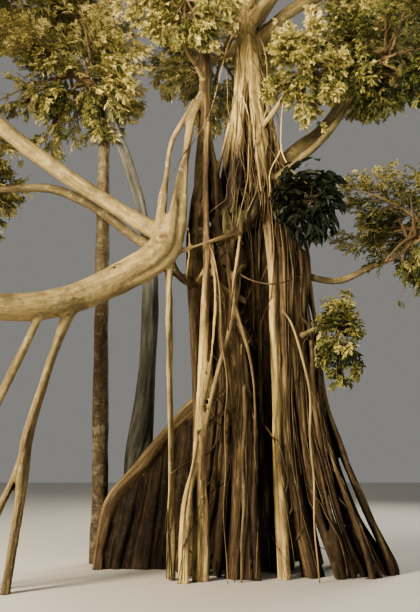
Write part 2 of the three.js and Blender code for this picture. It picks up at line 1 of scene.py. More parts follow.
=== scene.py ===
# A strangler fig in metres, +Z up: a trunk of fused roots, its boughs, the aerial roots that prop them,
# and a crown in separate masses of foliage. The camera looks along +Y, with +X to its right.
import math

import bmesh
import bpy
import numpy as np
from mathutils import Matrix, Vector
from mathutils.bvhtree import BVHTree
from mathutils.kdtree import KDTree


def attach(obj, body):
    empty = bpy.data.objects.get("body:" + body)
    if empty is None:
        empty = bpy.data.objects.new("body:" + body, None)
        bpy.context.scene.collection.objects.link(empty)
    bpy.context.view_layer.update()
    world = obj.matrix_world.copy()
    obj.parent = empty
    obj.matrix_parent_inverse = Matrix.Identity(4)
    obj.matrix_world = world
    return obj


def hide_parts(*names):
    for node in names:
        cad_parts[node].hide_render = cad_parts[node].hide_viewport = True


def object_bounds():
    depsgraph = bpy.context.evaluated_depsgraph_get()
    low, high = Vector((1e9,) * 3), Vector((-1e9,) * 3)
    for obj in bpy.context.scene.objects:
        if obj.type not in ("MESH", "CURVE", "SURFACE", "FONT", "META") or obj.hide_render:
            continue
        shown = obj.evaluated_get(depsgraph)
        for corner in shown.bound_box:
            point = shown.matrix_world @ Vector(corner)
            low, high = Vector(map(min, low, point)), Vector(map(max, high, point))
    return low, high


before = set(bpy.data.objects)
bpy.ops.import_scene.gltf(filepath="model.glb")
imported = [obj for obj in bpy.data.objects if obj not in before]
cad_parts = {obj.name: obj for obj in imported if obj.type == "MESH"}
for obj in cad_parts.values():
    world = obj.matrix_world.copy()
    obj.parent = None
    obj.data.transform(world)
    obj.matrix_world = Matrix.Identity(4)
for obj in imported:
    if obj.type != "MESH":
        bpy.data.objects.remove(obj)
CAD_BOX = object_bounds()

# The trunk's middle and the radius of its skin at each height
TRUNK_HEIGHTS = [0, 2.5, 4.7, 5.7, 6.6, 7.7, 9.05]
TRUNK_X = [0.2, 0.19, 0.2, 0.19, 0.16, 0.125, 0.13]
TRUNK_Y = [0.3, 0.3, 0.29, 0.26, 0.22, 0.175, 0.19]
TRUNK_RADII = [0.86, 0.7, 0.74, 0.59, 0.4, 0.29, 0.19]
DEEP = 0.85  # the trunk is this much shallower than it is wide
STANDS = 0.95  # where a root's centre line runs, as a share of the skin
SUNK = 0.6  # the same at a root's upper end
TOP_SUNK = 0.82  # and at a front root's
COMES_OUT = 0.15  # the share of a root's length over which it comes out of the trunk
ROOT_POINTS = 9
FLARE = 0.85  # the height over which the roots' spread dies away
BURIED = 0.3  # how far a root runs on before it is cut off level with the ground
GAP = 0.0003  # clear space between a mass's stem and the limb that bears it
GOLDEN_ANGLE = math.pi * (3 - math.sqrt(5))

# How pale each root is: 0 is the dark red-brown of the hollows and 1 is sunlit cream. The scale is partly the
# bark's own tone and partly painted light and shade: roots that stand in shade are given low values.
FRONT_ROOTS = [
    dict(top=5.4, angles=[214, 220, 219, 212], reach=1.13, radii=[0.07, 0.08, 0.095, 0.12], pale=0.2),
    dict(top=8.3, angles=[222, 226, 230, 226, 239, 247, 249], reach=1.1,
         radii=[0.055, 0.085, 0.08, 0.09, 0.11], pale=0.33),
    dict(top=8.8, angles=[248, 244, 240, 232, 248, 261, 257], reach=1.06,
         radii=[0.05, 0.085, 0.085, 0.085, 0.115], pale=0.24),
    dict(top=8.6, angles=[276, 279, 282, 288, 291, 289, 284], reach=1.09,
         radii=[0.05, 0.08, 0.072, 0.08, 0.1], pale=1.0),
    dict(top=8.2, angles=[304, 300, 302, 305, 304, 306], reach=1.13,
         radii=[0.05, 0.08, 0.085, 0.1, 0.125], pale=0.36),
    dict(top=5.6, angles=[312, 318, 322, 318], reach=1.42, flare=1.4, radii=[0.08, 0.09, 0.11, 0.14],
         pale=0.24, loose=True),
    dict(top=5.2, angles=[326, 332, 333, 328], reach=1.7, flare=1.8, radii=[0.08, 0.1, 0.115, 0.14],
         pale=0.36, loose=True),
    dict(top=7.6, angles=[336, 342, 345, 346, 342], reach=1.85, flare=2.0,
         radii=[0.06, 0.09, 0.105, 0.12, 0.145], pale=0.44, loose=True),
]
BACK_ROOTS = dict(
    count=8, angles=(0, 200), tops=[(7.6, 8.7), (5.0, 6.0)], strays=(9, 14), reach=(1.05, 1.5),
    stout=(0.105, 0.14), taper=[0.5, 0.8, 0.95, 1.3], seed=7, pale=0.42,
)
CROSS_ROOTS = dict(
    count=5, angles=(224, 262), heights=(2.3, 4.4), climb=0.62, stands=1.02, radii=[0.034, 0.046, 0.034],
    seed=5, pale=0.36,
)
# Roots that stand clear of the trunk on its left, and the links that hold them to it
LEFT_ROOTS = [
    dict(path=[(-0.62, 0.04, 8.55), (-0.61, -0.02, 7.1), (-0.655, -0.05, 5.9), (-0.735, -0.09, 4.9),
               (-0.735, -0.13, 4.15), (-0.69, -0.17, 3.3), (-0.7, -0.22, 1.6), (-0.79, -0.26, -BURIED)],
         radii=[0.11, 0.11, 0.125, 0.165, 0.13, 0.085, 0.09, 0.12], pale=0.16, strands=4, moss=0.8),
    dict(path=[(-0.56, -0.08, 6.9), (-0.59, -0.33, 5.76), (-0.57, -0.47, 4.86), (-0.555, -0.52, 4.33),
               (-0.6, -0.57, 3.5), (-0.65, -0.63, 2.6), (-0.7, -0.7, 1.5), (-0.715, -0.79, 0.3),
               (-0.725, -0.8, -BURIED)],
         radii=[0.055, 0.056, 0.058, 0.085, 0.066, 0.06, 0.068, 0.074, 0.085],
         pale=[0.56, 0.4, 0.3, 0.78, 0.78, 0.76, 0.76], strands=2),
    dict(path=[(-0.69, -0.69, 1.6), (-0.89, -0.82, 0.9), (-0.92, -0.9, -BURIED)],
         radii=[0.045, 0.05, 0.06], pale=0.8, strands=2),
    dict(path=[(-0.5, -0.5, 4.75), (-0.45, -0.57, 3.85), (-0.53, -0.62, 2.75), (-0.64, -0.66, 2.2)],
         radii=[0.028, 0.026, 0.026, 0.03], pale=0.75, strands=1),
    dict(path=[(-0.7, -0.7, 1.75), (-0.81, -0.84, 1.0), (-0.83, -0.93, 0.3), (-0.84, -0.95, -BURIED)],
         radii=[0.03, 0.034, 0.038, 0.044], pale=0.86, strands=1),
    dict(path=[(-0.66, -0.62, 2.3), (-0.6, -0.68, 1.4), (-0.57, -0.76, 0.5), (-0.6, -0.8, -BURIED)],
         radii=[0.035, 0.036, 0.04, 0.05], pale=0.62, strands=1),
    dict(path=[(-0.6, -0.03, 7.0), (-0.52, -0.06, 6.4), (-0.42, -0.12, 5.7), (-0.36, -0.22, 5.0),
               (-0.3, -0.3, 4.4)], radii=[0.05, 0.08, 0.09, 0.09, 0.08], pale=0.42),
    dict(path=[(-0.6, 0.02, 6.5), (-0.46, 0.06, 5.8), (-0.3, 0.05, 5.1)], radii=[0.05, 0.075, 0.085],
         pale=0.2),
    dict(path=[(-0.2, -0.1, 6.9), (-0.34, -0.12, 6.3), (-0.5, -0.1, 5.6), (-0.62, -0.12, 4.9)],
         radii=[0.03, 0.036, 0.045, 0.05], pale=0.5, strands=1),
    dict(path=[(-0.06, -0.3, 5.0), (-0.17, -0.55, 4.05), (-0.23, -0.6, 3.45), (-0.43, -0.63, 2.7),
               (-0.58, -0.67, 2.0), (-0.66, -0.71, 1.3)], radii=[0.022, 0.034, 0.038, 0.036, 0.034, 0.04],
         pale=0.62, strands=1),
    dict(path=[(-0.27, -0.34, 4.6), (-0.15, -0.56, 3.7), (0.05, -0.58, 2.9), (0.11, -0.6, 1.9),
               (0.08, -0.68, 0.9), (0.1, -0.74, -BURIED)], radii=[0.04, 0.05, 0.048, 0.045, 0.05, 0.06],
         pale=0.3, strands=2),
    dict(path=[(-0.73, -0.11, 5.0), (-0.3, 0, 5.1), (0.1, 0.2, 5.2)], radii=[0.09, 0.08, 0.08], pale=0.3),
    dict(path=[(-0.59, -0.33, 5.5), (-0.7, -0.15, 5.25)], radii=[0.045, 0.06], pale=0.7),
    dict(path=[(-0.555, -0.51, 4.36), (-0.64, -0.33, 4.26), (-0.74, -0.13, 4.18)],
         radii=[0.07, 0.07, 0.09], pale=0.6),
    dict(path=[(-0.56, -0.52, 4.25), (-0.33, -0.33, 4.05), (0, -0.06, 3.9)],
         radii=[0.06, 0.06, 0.08], pale=0.5),
    dict(path=[(-0.68, -0.68, 1.9), (-0.42, -0.4, 2.15), (0, -0.06, 2.4)],
         radii=[0.055, 0.06, 0.08], pale=0.5),
    dict(path=[(-0.7, -0.21, 2.3), (-0.35, 0, 2.5), (0.1, 0.2, 2.7)], radii=[0.06, 0.07, 0.08], pale=0.15),
    dict(path=[(0.1, 0.15, 8.7), (-0.18, -0.38, 8.25), (-0.56, -0.6, 6.7), (-0.96, -0.72, 5.97),
               (-1.24, -0.9, 5.29)], radii=[0.03, 0.024, 0.022, 0.02, 0.016], pale=0.6, strands=1),
    dict(path=[(-0.74, -0.16, 4.17), (-0.88, -0.43, 4.14), (-1.0, -0.59, 4.2), (-1.1, -0.64, 4.36)],
         radii=[0.085, 0.075, 0.06, 0.07], pale=0.25, moss=0.5),
    dict(path=[(-1.0, -0.62, 4.52), (-0.845, -0.645, 4.575), (-0.6, -0.65, 4.66), (-0.3, -0.48, 4.82),
               (0, -0.2, 5.05)], radii=[0.05, 0.034, 0.038, 0.042, 0.045], pale=0.5, strands=1),
    dict(path=[(-0.845, -0.59, 4.96), (-0.825, -0.65, 4.585), (-0.88, -0.48, 4.17)],
         radii=[0.016, 0.02, 0.022], pale=0.8, strands=1),
]
# The plank of root that runs out to the left: the line of its top edge, and its distance behind the origin
PLANK = dict(
    top=[(-0.25, 2.75), (-0.9, 2.25), (-1.5, 1.5), (-1.95, 0.95), (-2.13, 0.3), (-2.16, -BURIED)],
    behind=(0.26, 0.34), radii=[0.1, 0.12, 0.095, 0.125, 0.1, 0.135, 0.115, 0.15], pale=0.56, thick=0.12,
    strands=4, drops=17, lowest_drop=0.35, slant=0.22, slants=(0.3, 1.5), drop_radii=(0.028, 0.08),
    # the drops are kept dark, which paints the shade that lies on the plank's face
    drop_pale=(-0.2, 0.06), seed=23,
)
# The swollen ledge of grown-together roots over the cleft
LEDGE = dict(path=[(-0.42, -0.27, 4.95), (-0.15, -0.42, 5.06), (0.11, -0.44, 5.26), (0.33, -0.33, 5.52)],
             lumps=24, aside=0.2, near=(-0.05, 0.07), low=(-0.1, 0.07), rise=(0.3, 0.7), fall=(0.1, 0.26),
             stout=(0.022, 0.055), taper=(0.5, 0.8, 1, 0.7), pale=(-0.2, 0.6), moss=(0.6, 1.1), seed=77)
CLEFT = dict(angle=272, width=36, heights=(0.3, 5.2), fades=(0.8, 0.9), depth=0.7)

# Limbs. Each first stretch, as long as the collar, belongs to the piece named in grows_from
# A limb's pale is on the roots' scale, and is low on the limbs that stand in shade, which paints that shade.
LIMBS = {
    "fork_left": dict(
        grows_from="trunk", collar=0.56, strands=3, pale=0.6,
        path=[(-0.61, -0.02, 7.5), (-0.79, -0.15, 7.05), (-0.89, -0.3, 6.36), (-1.01, -0.46, 5.65),
              (-1.08, -0.54, 4.98), (-1.16, -0.62, 4.52)],
        radii=[0.08, 0.075, 0.066, 0.068, 0.085, 0.19],
        extra=[
            dict(path=[(-0.78, -0.12, 7.3), (-0.98, -0.25, 6.8), (-1.13, -0.36, 6.4), (-1.2, -0.48, 5.75),
                       (-1.27, -0.58, 5.15), (-1.23, -0.62, 4.7)],
                 radii=[0.045, 0.045, 0.045, 0.052, 0.06, 0.13], strands=1),
            dict(path=[(-0.905, -0.33, 6.26), (-0.905, -0.52, 5.6), (-0.935, -0.6, 5.1),
                       (-1.02, -0.61, 4.7)], radii=[0.04, 0.036, 0.045, 0.1], strands=1),
            # the ribs sweep round into the low bough
            dict(path=[(-1.17, -0.48, 5.75), (-1.25, -0.59, 5.1), (-1.35, -0.62, 4.62), (-1.62, -0.7, 4.33),
                       (-2.1, -0.85, 4.0)], radii=[0.015, 0.06, 0.1, 0.1, 0.05], strands=1),
            dict(path=[(-1.04, -0.52, 5.6), (-1.08, -0.64, 5.05), (-1.2, -0.74, 4.55), (-1.5, -0.8, 4.24),
                       (-2.0, -0.93, 3.92)], radii=[0.02, 0.078, 0.125, 0.12, 0.06], strands=1),
            dict(path=[(-0.92, -0.56, 5.4), (-0.96, -0.64, 4.86), (-1.08, -0.68, 4.46), (-1.36, -0.74, 4.2),
                       (-1.85, -0.88, 3.88)], radii=[0.014, 0.05, 0.095, 0.1, 0.06], strands=1),
            dict(path=[(-1.1, -0.42, 5.2), (-1.16, -0.48, 4.8), (-1.35, -0.58, 4.45), (-1.7, -0.68, 4.15)],
                 radii=[0.07, 0.11, 0.14, 0.08], strands=1),
        ],
    ),
    "bough_left_low": dict(
        grows_from="fork_left", collar=0.43, pale=0.8,
        path=[(-1.13, -0.62, 4.7), (-1.45, -0.7, 4.34), (-2.05, -0.88, 3.93), (-2.81, -1.3, 3.56),
              (-3.65, -1.75, 3.5), (-4.85, -2.33, 3.76), (-5.9, -2.8, 4.25)],
        radii=[0.2, 0.225, 0.2, 0.178, 0.172, 0.15, 0.105],
    ),
    "bough_left_high": dict(
        grows_from="fork_left", collar=0.42, pale=0.74,
        path=[(-1.15, -0.48, 4.78), (-1.9, -0.42, 5.27), (-2.91, -0.8, 5.83), (-3.9, -1.3, 6.52),
              (-5.0, -1.75, 7.35)],
        radii=[0.135, 0.116, 0.116, 0.108, 0.08],
    ),
    "bough_left_rear": dict(
        grows_from="fork_left", collar=0.48, pale=0.22, smooth=0.8,
        path=[(-1.18, -0.48, 4.64), (-1.56, -0.13, 4.83), (-2.37, 0, 5.47), (-3.09, 0.2, 5.86),
              (-3.9, 0.42, 5.95), (-4.6, 0.6, 6.0)],
        radii=[0.09, 0.078, 0.08, 0.076, 0.068, 0.055],
    ),
    "stem_rear": dict(
        strands=4, pale=0.46, smooth=0.3,
        path=[(-1.78, 1.3, -BURIED), (-1.74, 1.28, 0.9), (-1.62, 1.24, 2.4), (-1.56, 1.22, 3.6),
              (-1.57, 1.12, 4.8), (-1.7, 0.88, 5.7), (-2.08, 0.64, 6.9), (-2.38, 0.52, 7.6)],
        radii=[0.3, 0.25, 0.195, 0.155, 0.135, 0.12, 0.098, 0.082],
    ),
    "root_rear": dict(
        grows_from="trunk", joins="stem_rear", collar=1.15, strands=2, pale=0.3, smooth=0.3,
        path=[(-0.25, 0.33, 1.15), (-0.85, 0.7, 0.7), (-1.35, 1.02, 0.42), (-1.74, 1.29, 0.42)],
        radii=[0.14, 0.105, 0.095, 0.12],
    ),
    "crown_bough_left": dict(
        grows_from="trunk", collar=0.33, pale=0.6,
        path=[(-0.62, 0.03, 8.4), (-0.95, 0.33, 9.35), (-1.65, 0.7, 10.05), (-2.5, 1.0, 10.4),
              (-3.6, 1.45, 10.6)],
        radii=[0.12, 0.118, 0.112, 0.104, 0.08],
    ),
    "crown_bough_front_left": dict(
        grows_from="trunk", collar=0.33, pale=0.7,
        path=[(-0.62, 0, 8.3), (-1.25, -0.85, 9.2), (-2.2, -1.7, 10.1)], radii=[0.11, 0.1, 0.078],
    ),
    "crown_bough_top": dict(
        grows_from="trunk", collar=0.42, pale=0.8,
        path=[(0.13, 0.19, 8.9), (0.08, 0.26, 10.0), (0.1, 0.35, 11.2)], radii=[0.165, 0.13, 0.092],
    ),
    "crown_bough_front": dict(
        grows_from="trunk", collar=0.43, pale=0.8,
        path=[(0.13, 0.19, 8.9), (0.06, -0.9, 9.8), (0.13, -2.1, 10.25)], radii=[0.135, 0.115, 0.08],
    ),
    "crown_bough_front_right": dict(
        grows_from="trunk", collar=0.43, pale=0.7,
        path=[(0.13, 0.17, 8.8), (0.95, -0.5, 9.6), (2.15, -1.2, 10.25)], radii=[0.14, 0.118, 0.082],
    ),
    "crown_bough_right": dict(
        grows_from="trunk", collar=0.56, pale=0.6,
        path=[(0.13, 0.18, 8.35), (0.88, 0.16, 9.15), (1.85, 0.3, 9.75), (3.2, 0.45, 9.95)],
        radii=[0.125, 0.105, 0.072],
    ),
    "crown_bough_back": dict(
        grows_from="trunk", collar=0.42, pale=0.6,
        path=[(0.13, 0.22, 8.7), (0.1, 1.7, 9.6), (-0.08, 3.05, 10.25)], radii=[0.14, 0.118, 0.082],
    ),
    "bough_right_rear": dict(
        grows_from="trunk", collar=0.62, pale=0.58,
        path=[(0.35, 0.4, 5.9), (0.98, 0.95, 6.85), (1.63, 1.5, 7.59), (2.4, 2.2, 9.0), (2.85, 2.7, 9.95)],
        radii=[0.19, 0.15, 0.14, 0.12, 0.088],
    ),
    "bough_right_high": dict(
        grows_from="trunk", collar=0.42, pale=0.35,
        path=[(0.35, 0, 5.75), (0.82, -0.33, 6.08), (1.3, -0.45, 6.5), (1.72, -0.5, 7.15)],
        radii=[0.095, 0.066, 0.058, 0.046],
    ),
    "bough_right_low": dict(
        grows_from="trunk", collar=0.42, pale=0.3,
        path=[(0.65, 0.18, 4.52), (1.1, 0.26, 4.38), (1.54, 0.3, 4.34), (2.08, 0.22, 4.56)],
        radii=[0.09, 0.064, 0.056, 0.05],
    ),
    "prop_left_inner": dict(
        grows_from="bough_left_low", collar=0.33, strands=3, pale=0.58, smooth=0.5,
        path=[(-2.38, -1.06, 3.7), (-2.52, -1.16, 3.3), (-2.7, -1.3, 2.48), (-2.85, -1.42, 1.7),
              (-2.88, -1.54, 0.9), (-2.93, -1.66, -BURIED)],
        radii=[0.095, 0.066, 0.072, 0.088, 0.068, 0.078],
        extra=[dict(path=[(-2.85, -1.42, 1.8), (-2.96, -1.46, 1.35), (-3.2, -1.54, 0.7),
                          (-3.42, -1.6, -BURIED)], radii=[0.05, 0.056, 0.058, 0.066])],
    ),
    "prop_left_outer": dict(
        grows_from="bough_left_low", collar=0.24, strands=2, pale=0.58, smooth=0.5,
        path=[(-2.79, -1.29, 3.52), (-2.9, -1.35, 3.18), (-3.11, -1.5, 2.54), (-3.56, -1.62, 1.25),
              (-3.96, -1.72, -BURIED)],
        radii=[0.1, 0.08, 0.08, 0.082, 0.09],
    ),
    "prop_fork": dict(
        grows_from="fork_left", collar=0.2, strands=2, pale=0.76, smooth=0.7,
        path=[(-1.14, -0.64, 4.45), (-1.14, -0.66, 3.95), (-1.09, -0.66, 2.6), (-1.03, -0.68, -BURIED)],
        radii=[0.095, 0.058, 0.056, 0.074],
    ),
    "pillar": dict(
        grows_from="crown_bough_left", collar=0.26, pale=0.34, smooth=0.7,
        path=[(-2.44, 0.99, 10.4), (-2.45, 0.985, 9.8), (-2.4, 0.93, 6.5), (-2.33, 0.9, 3.5),
              (-2.23, 0.88, -BURIED)],
        radii=[0.13, 0.105, 0.115, 0.122, 0.145],
    ),
    "spur_shade": dict(joins="trunk", pale=0.3, path=[(0.42, 0, 5.2), (0.76, -0.42, 5.33)],
                       radii=[0.06, 0.042]),
    "spur_left": dict(joins="trunk", pale=0.7, path=[(-0.62, -0.02, 7.7), (-0.76, -0.33, 7.8)],
                      radii=[0.06, 0.042]),
    "spur_sprouts": dict(joins="trunk", pale=0.4, path=[(0.7, 0, 3.3), (1.12, -0.4, 3.48)],
                         radii=[0.048, 0.03]),
    "spur_right": dict(joins="trunk", pale=0.7, radii=[0.075, 0.05, 0.042],
                       path=[(0.15, 0.15, 6.8), (0.4, -0.24, 6.87), (0.64, -0.52, 7.12)]),
}

# Masses: each fills an ellipsoid of its own, from the tip of the limb that bears it
MASSES = {
    "crown_top": dict(bearer="crown_bough_top", centre=(0.05, 0.35, 12.5), reach=(2.7, 2.6, 1.85), shoots=8),
    "crown_front": dict(bearer="crown_bough_front", centre=(0.25, -3.3, 11.0), reach=(2.3, 2.2, 1.65),
                        shoots=7),
    "crown_front_right": dict(bearer="crown_bough_front_right", centre=(3.35, -1.9, 11.05),
                              reach=(2.5, 2.3, 1.75), shoots=6),
    "crown_right": dict(bearer="crown_bough_right", centre=(4.7, 0.6, 10.05), reach=(2.1, 2.0, 1.6),
                        shoots=6),
    "crown_back_right": dict(bearer="bough_right_rear", centre=(3.5, 3.5, 11.1), reach=(2.5, 2.3, 1.85),
                             shoots=7),
    "crown_back": dict(bearer="crown_bough_back", centre=(-0.3, 4.5, 11.05), reach=(2.5, 2.3, 1.85),
                       shoots=6),
    "crown_left_rear": dict(bearer="crown_bough_left", centre=(-4.1, 2.2, 11.2), reach=(2.6, 2.5, 1.8),
                            shoots=7),
    "crown_front_left": dict(bearer="crown_bough_front_left", centre=(-3.2, -2.5, 11.05),
                             reach=(2.6, 2.4, 1.75), shoots=6),
    "left_high": dict(bearer="bough_left_high", centre=(-5.9, -1.9, 8.5), reach=(2.1, 2.0, 1.7), shoots=7),
    "left_low": dict(bearer="bough_left_low", centre=(-6.8, -3.2, 5.15), reach=(1.8, 1.7, 1.4), shoots=8),
    "left_rear": dict(bearer="bough_left_rear", centre=(-4.95, 0.9, 6.5), reach=(1.7, 1.6, 1.35), shoots=7),
    "left_inner": dict(bearer="stem_rear", centre=(-3.0, 0.5, 8.08), reach=(1.75, 1.4, 1.6), shoots=6),
    "right_inner": dict(bearer="bough_right_high", centre=(2.35, -0.65, 7.85), reach=(1.5, 1.35, 1.25),
                        shoots=6),
    "right_low": dict(bearer="bough_right_low", centre=(2.95, 0.25, 5.3), reach=(1.6, 1.45, 1.45), shoots=6),
    "shade": dict(bearer="spur_shade", centre=(0.98, -0.64, 5.3), reach=(0.62, 0.48, 0.78), shoots=6),
    "sprouts": dict(bearer="spur_sprouts", centre=(1.33, -0.62, 3.2), reach=(0.43, 0.4, 0.85), shoots=6),
    "front_left": dict(bearer="spur_left", centre=(-0.85, -1.25, 8.35), reach=(1.25, 0.8, 0.85), shoots=7),
    "front_right": dict(bearer="spur_right", centre=(0.95, -1.12, 7.25), reach=(0.85, 0.62, 1.15), shoots=5),
}

# The photograph's view
CAMERA = dict(place=(-0.525, -10.2, 1.5), pitch=13, lens=40)


def lerp(low, high, share):
    return low + (high - low) * share


def smoothstep(value, low, high):
    share = np.clip((value - low) / (high - low), 0, 1)
    return share * share * (3 - 2 * share)


def unit(vectors):
    return vectors / np.maximum(np.linalg.norm(vectors, axis=-1, keepdims=True), 1e-9)


def sideways(ways):
    """Two directions for each of a set of directions, square to it and to each other."""
    helper = np.where(np.abs(ways[..., 2:]) > 0.9, (1.0, 0, 0), (0, 0, 1.0))
    across = unit(np.cross(ways, helper))
    return across, np.cross(ways, across)


def tree_of(places):
    """A search tree that finds the nearest of the places."""
    tree = KDTree(len(places))
    for k, place in enumerate(places):
        tree.insert(place, k)
    tree.balance()
    return tree


class Seeded:
    """Even random numbers, drawn as the masses' rule draws them."""

    TIMES, PLUS, RANGE = 1664525, 1013904223, 2**32

    def __init__(self, seed):
        self.state = seed

    def draw(self, low=0.0, high=1.0):
        self.state = (self.state * self.TIMES + self.PLUS) % self.RANGE
        return lerp(low, high, self.state / self.RANGE)


# Large odd numbers that scatter a cell's place and a seed
CELL_TIMES, SEED_TIMES, MIX_TIMES = (73856093, 19349663, 83492791), 2654435761, 1274126177


def cell_value(cells, seed):
    """An even random number from 0 to 1 for each whole-numbered cell."""
    x, y, z = (cells[:, k] * times for k, times in enumerate(CELL_TIMES))
    mixed = x ^ y ^ z ^ seed * SEED_TIMES
    mixed = (mixed ^ (mixed >> 13)) * MIX_TIMES
    return ((mixed ^ (mixed >> 16)) & 0xFFFF) / 0xFFFF


def soft_noise(places, seed=0):
    """Smooth noise from -1 to 1, with bumps about one unit across."""
    cells = np.floor(places).astype(np.int64)
    inside = places - cells
    inside = inside * inside * (3 - 2 * inside)
    total = np.zeros(len(places))
    for corner in np.ndindex(2, 2, 2):
        step = np.array(corner)
        weight = np.prod(np.where(step, inside, 1 - inside), axis=1)
        total += weight * cell_value(cells + step, seed)
    return 2 * total - 1


# Centre lines and the tubes round them

SPACING = 0.05
CURVE_POINTS = 25
FLUTING = dict(around=2.2, along=0.8, apart=7.3)  # how close the flutes are, and how far apart two tubes' are


def smooth_line(path, spacing=SPACING):
    """Evenly spaced points on a smooth line through a path's points."""
    given = np.array(path, float)
    points = np.vstack([2 * given[0] - given[1], given, 2 * given[-1] - given[-2]])
    knots = np.sqrt(np.maximum(np.linalg.norm(np.diff(points, axis=0), axis=1), 1e-6))
    fine = [given[:1]]
    share = np.linspace(0, 1, CURVE_POINTS)[1:, None]
    for k in range(1, len(points) - 2):
        before, start, end, after = points[k - 1 : k + 3]
        a, b, c = knots[k - 1 : k + 2]
        leave = ((start - before) / a - (end - before) / (a + b) + (end - start) / b) * b
        arrive = ((end - start) / b - (after - start) / (b + c) + (after - end) / c) * b
        cubic = (2 * start - 2 * end + leave + arrive) * share**3
        square = (-3 * start + 3 * end - 2 * leave - arrive) * share**2
        fine.append(cubic + square + leave * share + start)
    return evenly(np.vstack(fine), spacing)


def evenly(points, spacing):
    """Points spread evenly along a line of points."""
    run = np.concatenate([[0], np.cumsum(np.linalg.norm(np.diff(points, axis=0), axis=1))])
    count = max(3, int(round(run[-1] / spacing)) + 1)
    at = np.linspace(0, run[-1], count)
    return np.stack([np.interp(at, run, points[:, k]) for k in range(3)], axis=1)


def spread_along(values, count):
    if len(values) == count:
        return np.array(values, float)
    return np.interp(np.linspace(0, 1, count), np.linspace(0, 1, len(values)), values)


class Tube:
    """A tapering limb: its centre line, the frame at each point of it, and its radii."""

    def __init__(self, line, radii, owner, pale=0.5, seed=0, moss=0.0):
        self.line = line
        self.owner = owner
        self.pale = spread_along(np.atleast_1d(pale), len(line))
        self.moss = moss
        self.seed = seed
        self.bearer, self.collar = owner, 0.0
        self.smooth = np.zeros(len(line))
        self.radii = spread_along(radii, len(line))
        self.run = np.concatenate([[0], np.cumsum(np.linalg.norm(np.diff(line, axis=0), axis=1))])
        self.ways = unit(np.gradient(line, axis=0))
        self.sides = np.zeros_like(line)
        side = np.cross(self.ways[0], (0.31, 0.95, 0.05) if abs(self.ways[0][2]) > 0.7 else (0, 0, 1))
        for k, way in enumerate(self.ways):
            side = side - way * side.dot(way)
            side /= np.linalg.norm(side)
            self.sides[k] = side
        self.ups = np.cross(self.ways, self.sides)

    def mesh(self, corners, flutes=0.0):
        """Corners and triangles of the closed tube, with flutes along it."""
        turns = np.arange(corners) / corners * 2 * math.pi
        ring = np.stack([np.cos(turns), np.sin(turns)], axis=1)
        radii = np.repeat(self.radii[:, None], corners, axis=1)
        if flutes:
            around = np.broadcast_to(ring * FLUTING["around"], (len(self.line), corners, 2))
            along = self.run[:, None, None] * FLUTING["along"] + self.seed * FLUTING["apart"]
            along = np.broadcast_to(along, (*radii.shape, 1))
            bumps = soft_noise(np.concatenate([around, along], axis=2).reshape(-1, 3), self.seed)
            radii = radii * (1 + flutes * bumps.reshape(radii.shape))
        places = (
            self.line[:, None]
            + radii[..., None] * ring[None, :, :1] * self.sides[:, None]
            + radii[..., None] * ring[None, :, 1:] * self.ups[:, None]
        )
        return closed_rings(places)


def closed_rings(places):
    """Triangles over rows of rings, closed by a fan at each end."""
    rows, corners = places.shape[:2]
    row, column = np.meshgrid(np.arange(rows - 1), np.arange(corners), indexing="ij")
    after = (column + 1) % corners
    a, b = row * corners + column, row * corners + after
    c, d = a + corners, b + corners
    faces = [np.stack([a, b, d], axis=-1).reshape(-1, 3), np.stack([a, d, c], axis=-1).reshape(-1, 3)]
    turn = np.arange(corners)
    ahead = (turn + 1) % corners
    foot, tip = rows * corners, rows * corners + 1
    last = (rows - 1) * corners
    faces.append(np.stack([ahead, turn, np.full(corners, foot)], axis=1))
    faces.append(np.stack([last + turn, last + ahead, np.full(corners, tip)], axis=1))
    ends = np.stack([places[0].mean(axis=0), places[-1].mean(axis=0)])
    return np.vstack([places.reshape(-1, 3), ends]), np.vstack(faces)


def join_meshes(meshes):
    places, faces, start = [], [], 0
    for mesh_places, mesh_faces in meshes:
        places.append(mesh_places)
        faces.append(mesh_faces + start)
        start += len(mesh_places)
    return np.vstack(places), np.vstack(faces)


def new_object(name, places, faces, smooth=True):
    """A mesh object whose faces all have the same number of corners."""
    mesh = bpy.data.meshes.new(name)
    corners = faces.shape[1]
    mesh.vertices.add(len(places))
    mesh.vertices.foreach_set("co", places.astype(np.float32).ravel())
    mesh.loops.add(faces.size)
    mesh.loops.foreach_set("vertex_index", faces.astype(np.int32).ravel())
    mesh.polygons.add(len(faces))
    mesh.polygons.foreach_set("loop_start", np.arange(0, faces.size, corners, dtype=np.int32))
    mesh.polygons.foreach_set("use_smooth", np.full(len(faces), smooth))
    mesh.update(calc_edges=True)
    piece = bpy.data.objects.new(name, mesh)
    bpy.context.scene.collection.objects.link(piece)
    return piece


def discard(piece):
    mesh = piece.data
    bpy.data.objects.remove(piece)
    bpy.data.meshes.remove(mesh)


# The trunk and its roots

# How far a strand's line lies from its root's line and how stout it is, as shares of the root's radius
CLOSE_STRANDS = dict(hold=0.5, stout=0.56)
LOOSE_STRANDS = dict(hold=0.78, stout=0.36)
STRAND_TWIST = 0.5  # in radians for each metre
GATHER = dict(heights=(5.8, 6.9), closer=0.6, stouter=0.35)  # strands grow together up the trunk
WANDER = dict(turn=0.5, turns=1.7, swell=0.15, swells=2.3)  # strands wind and part in waves as they run
# The first noise seed of each kind of small root, of the knot's rim and of the lines on the heart
FIRST_SEEDS = dict(knot=95, drops=201, guides=300, slim=400, creeping=500, vines=600, loops=700, ledge=800)


def on_trunk(height, angle, stands, spread=0.0):
    """A point of the trunk at an angle from +X towards +Y, at a share of its skin."""
    k = min(max(int(np.searchsorted(TRUNK_HEIGHTS, height)), 1), len(TRUNK_HEIGHTS) - 1)
    share = smoothstep(height, TRUNK_HEIGHTS[k - 1], TRUNK_HEIGHTS[k])
    x, y, skin = (lerp(ring[k - 1], ring[k], share) for ring in (TRUNK_X, TRUNK_Y, TRUNK_RADII))
    radius = skin * stands + spread
    turn = math.radians(angle)
    return (x + radius * math.cos(turn), y + radius * DEEP * math.sin(turn), height)


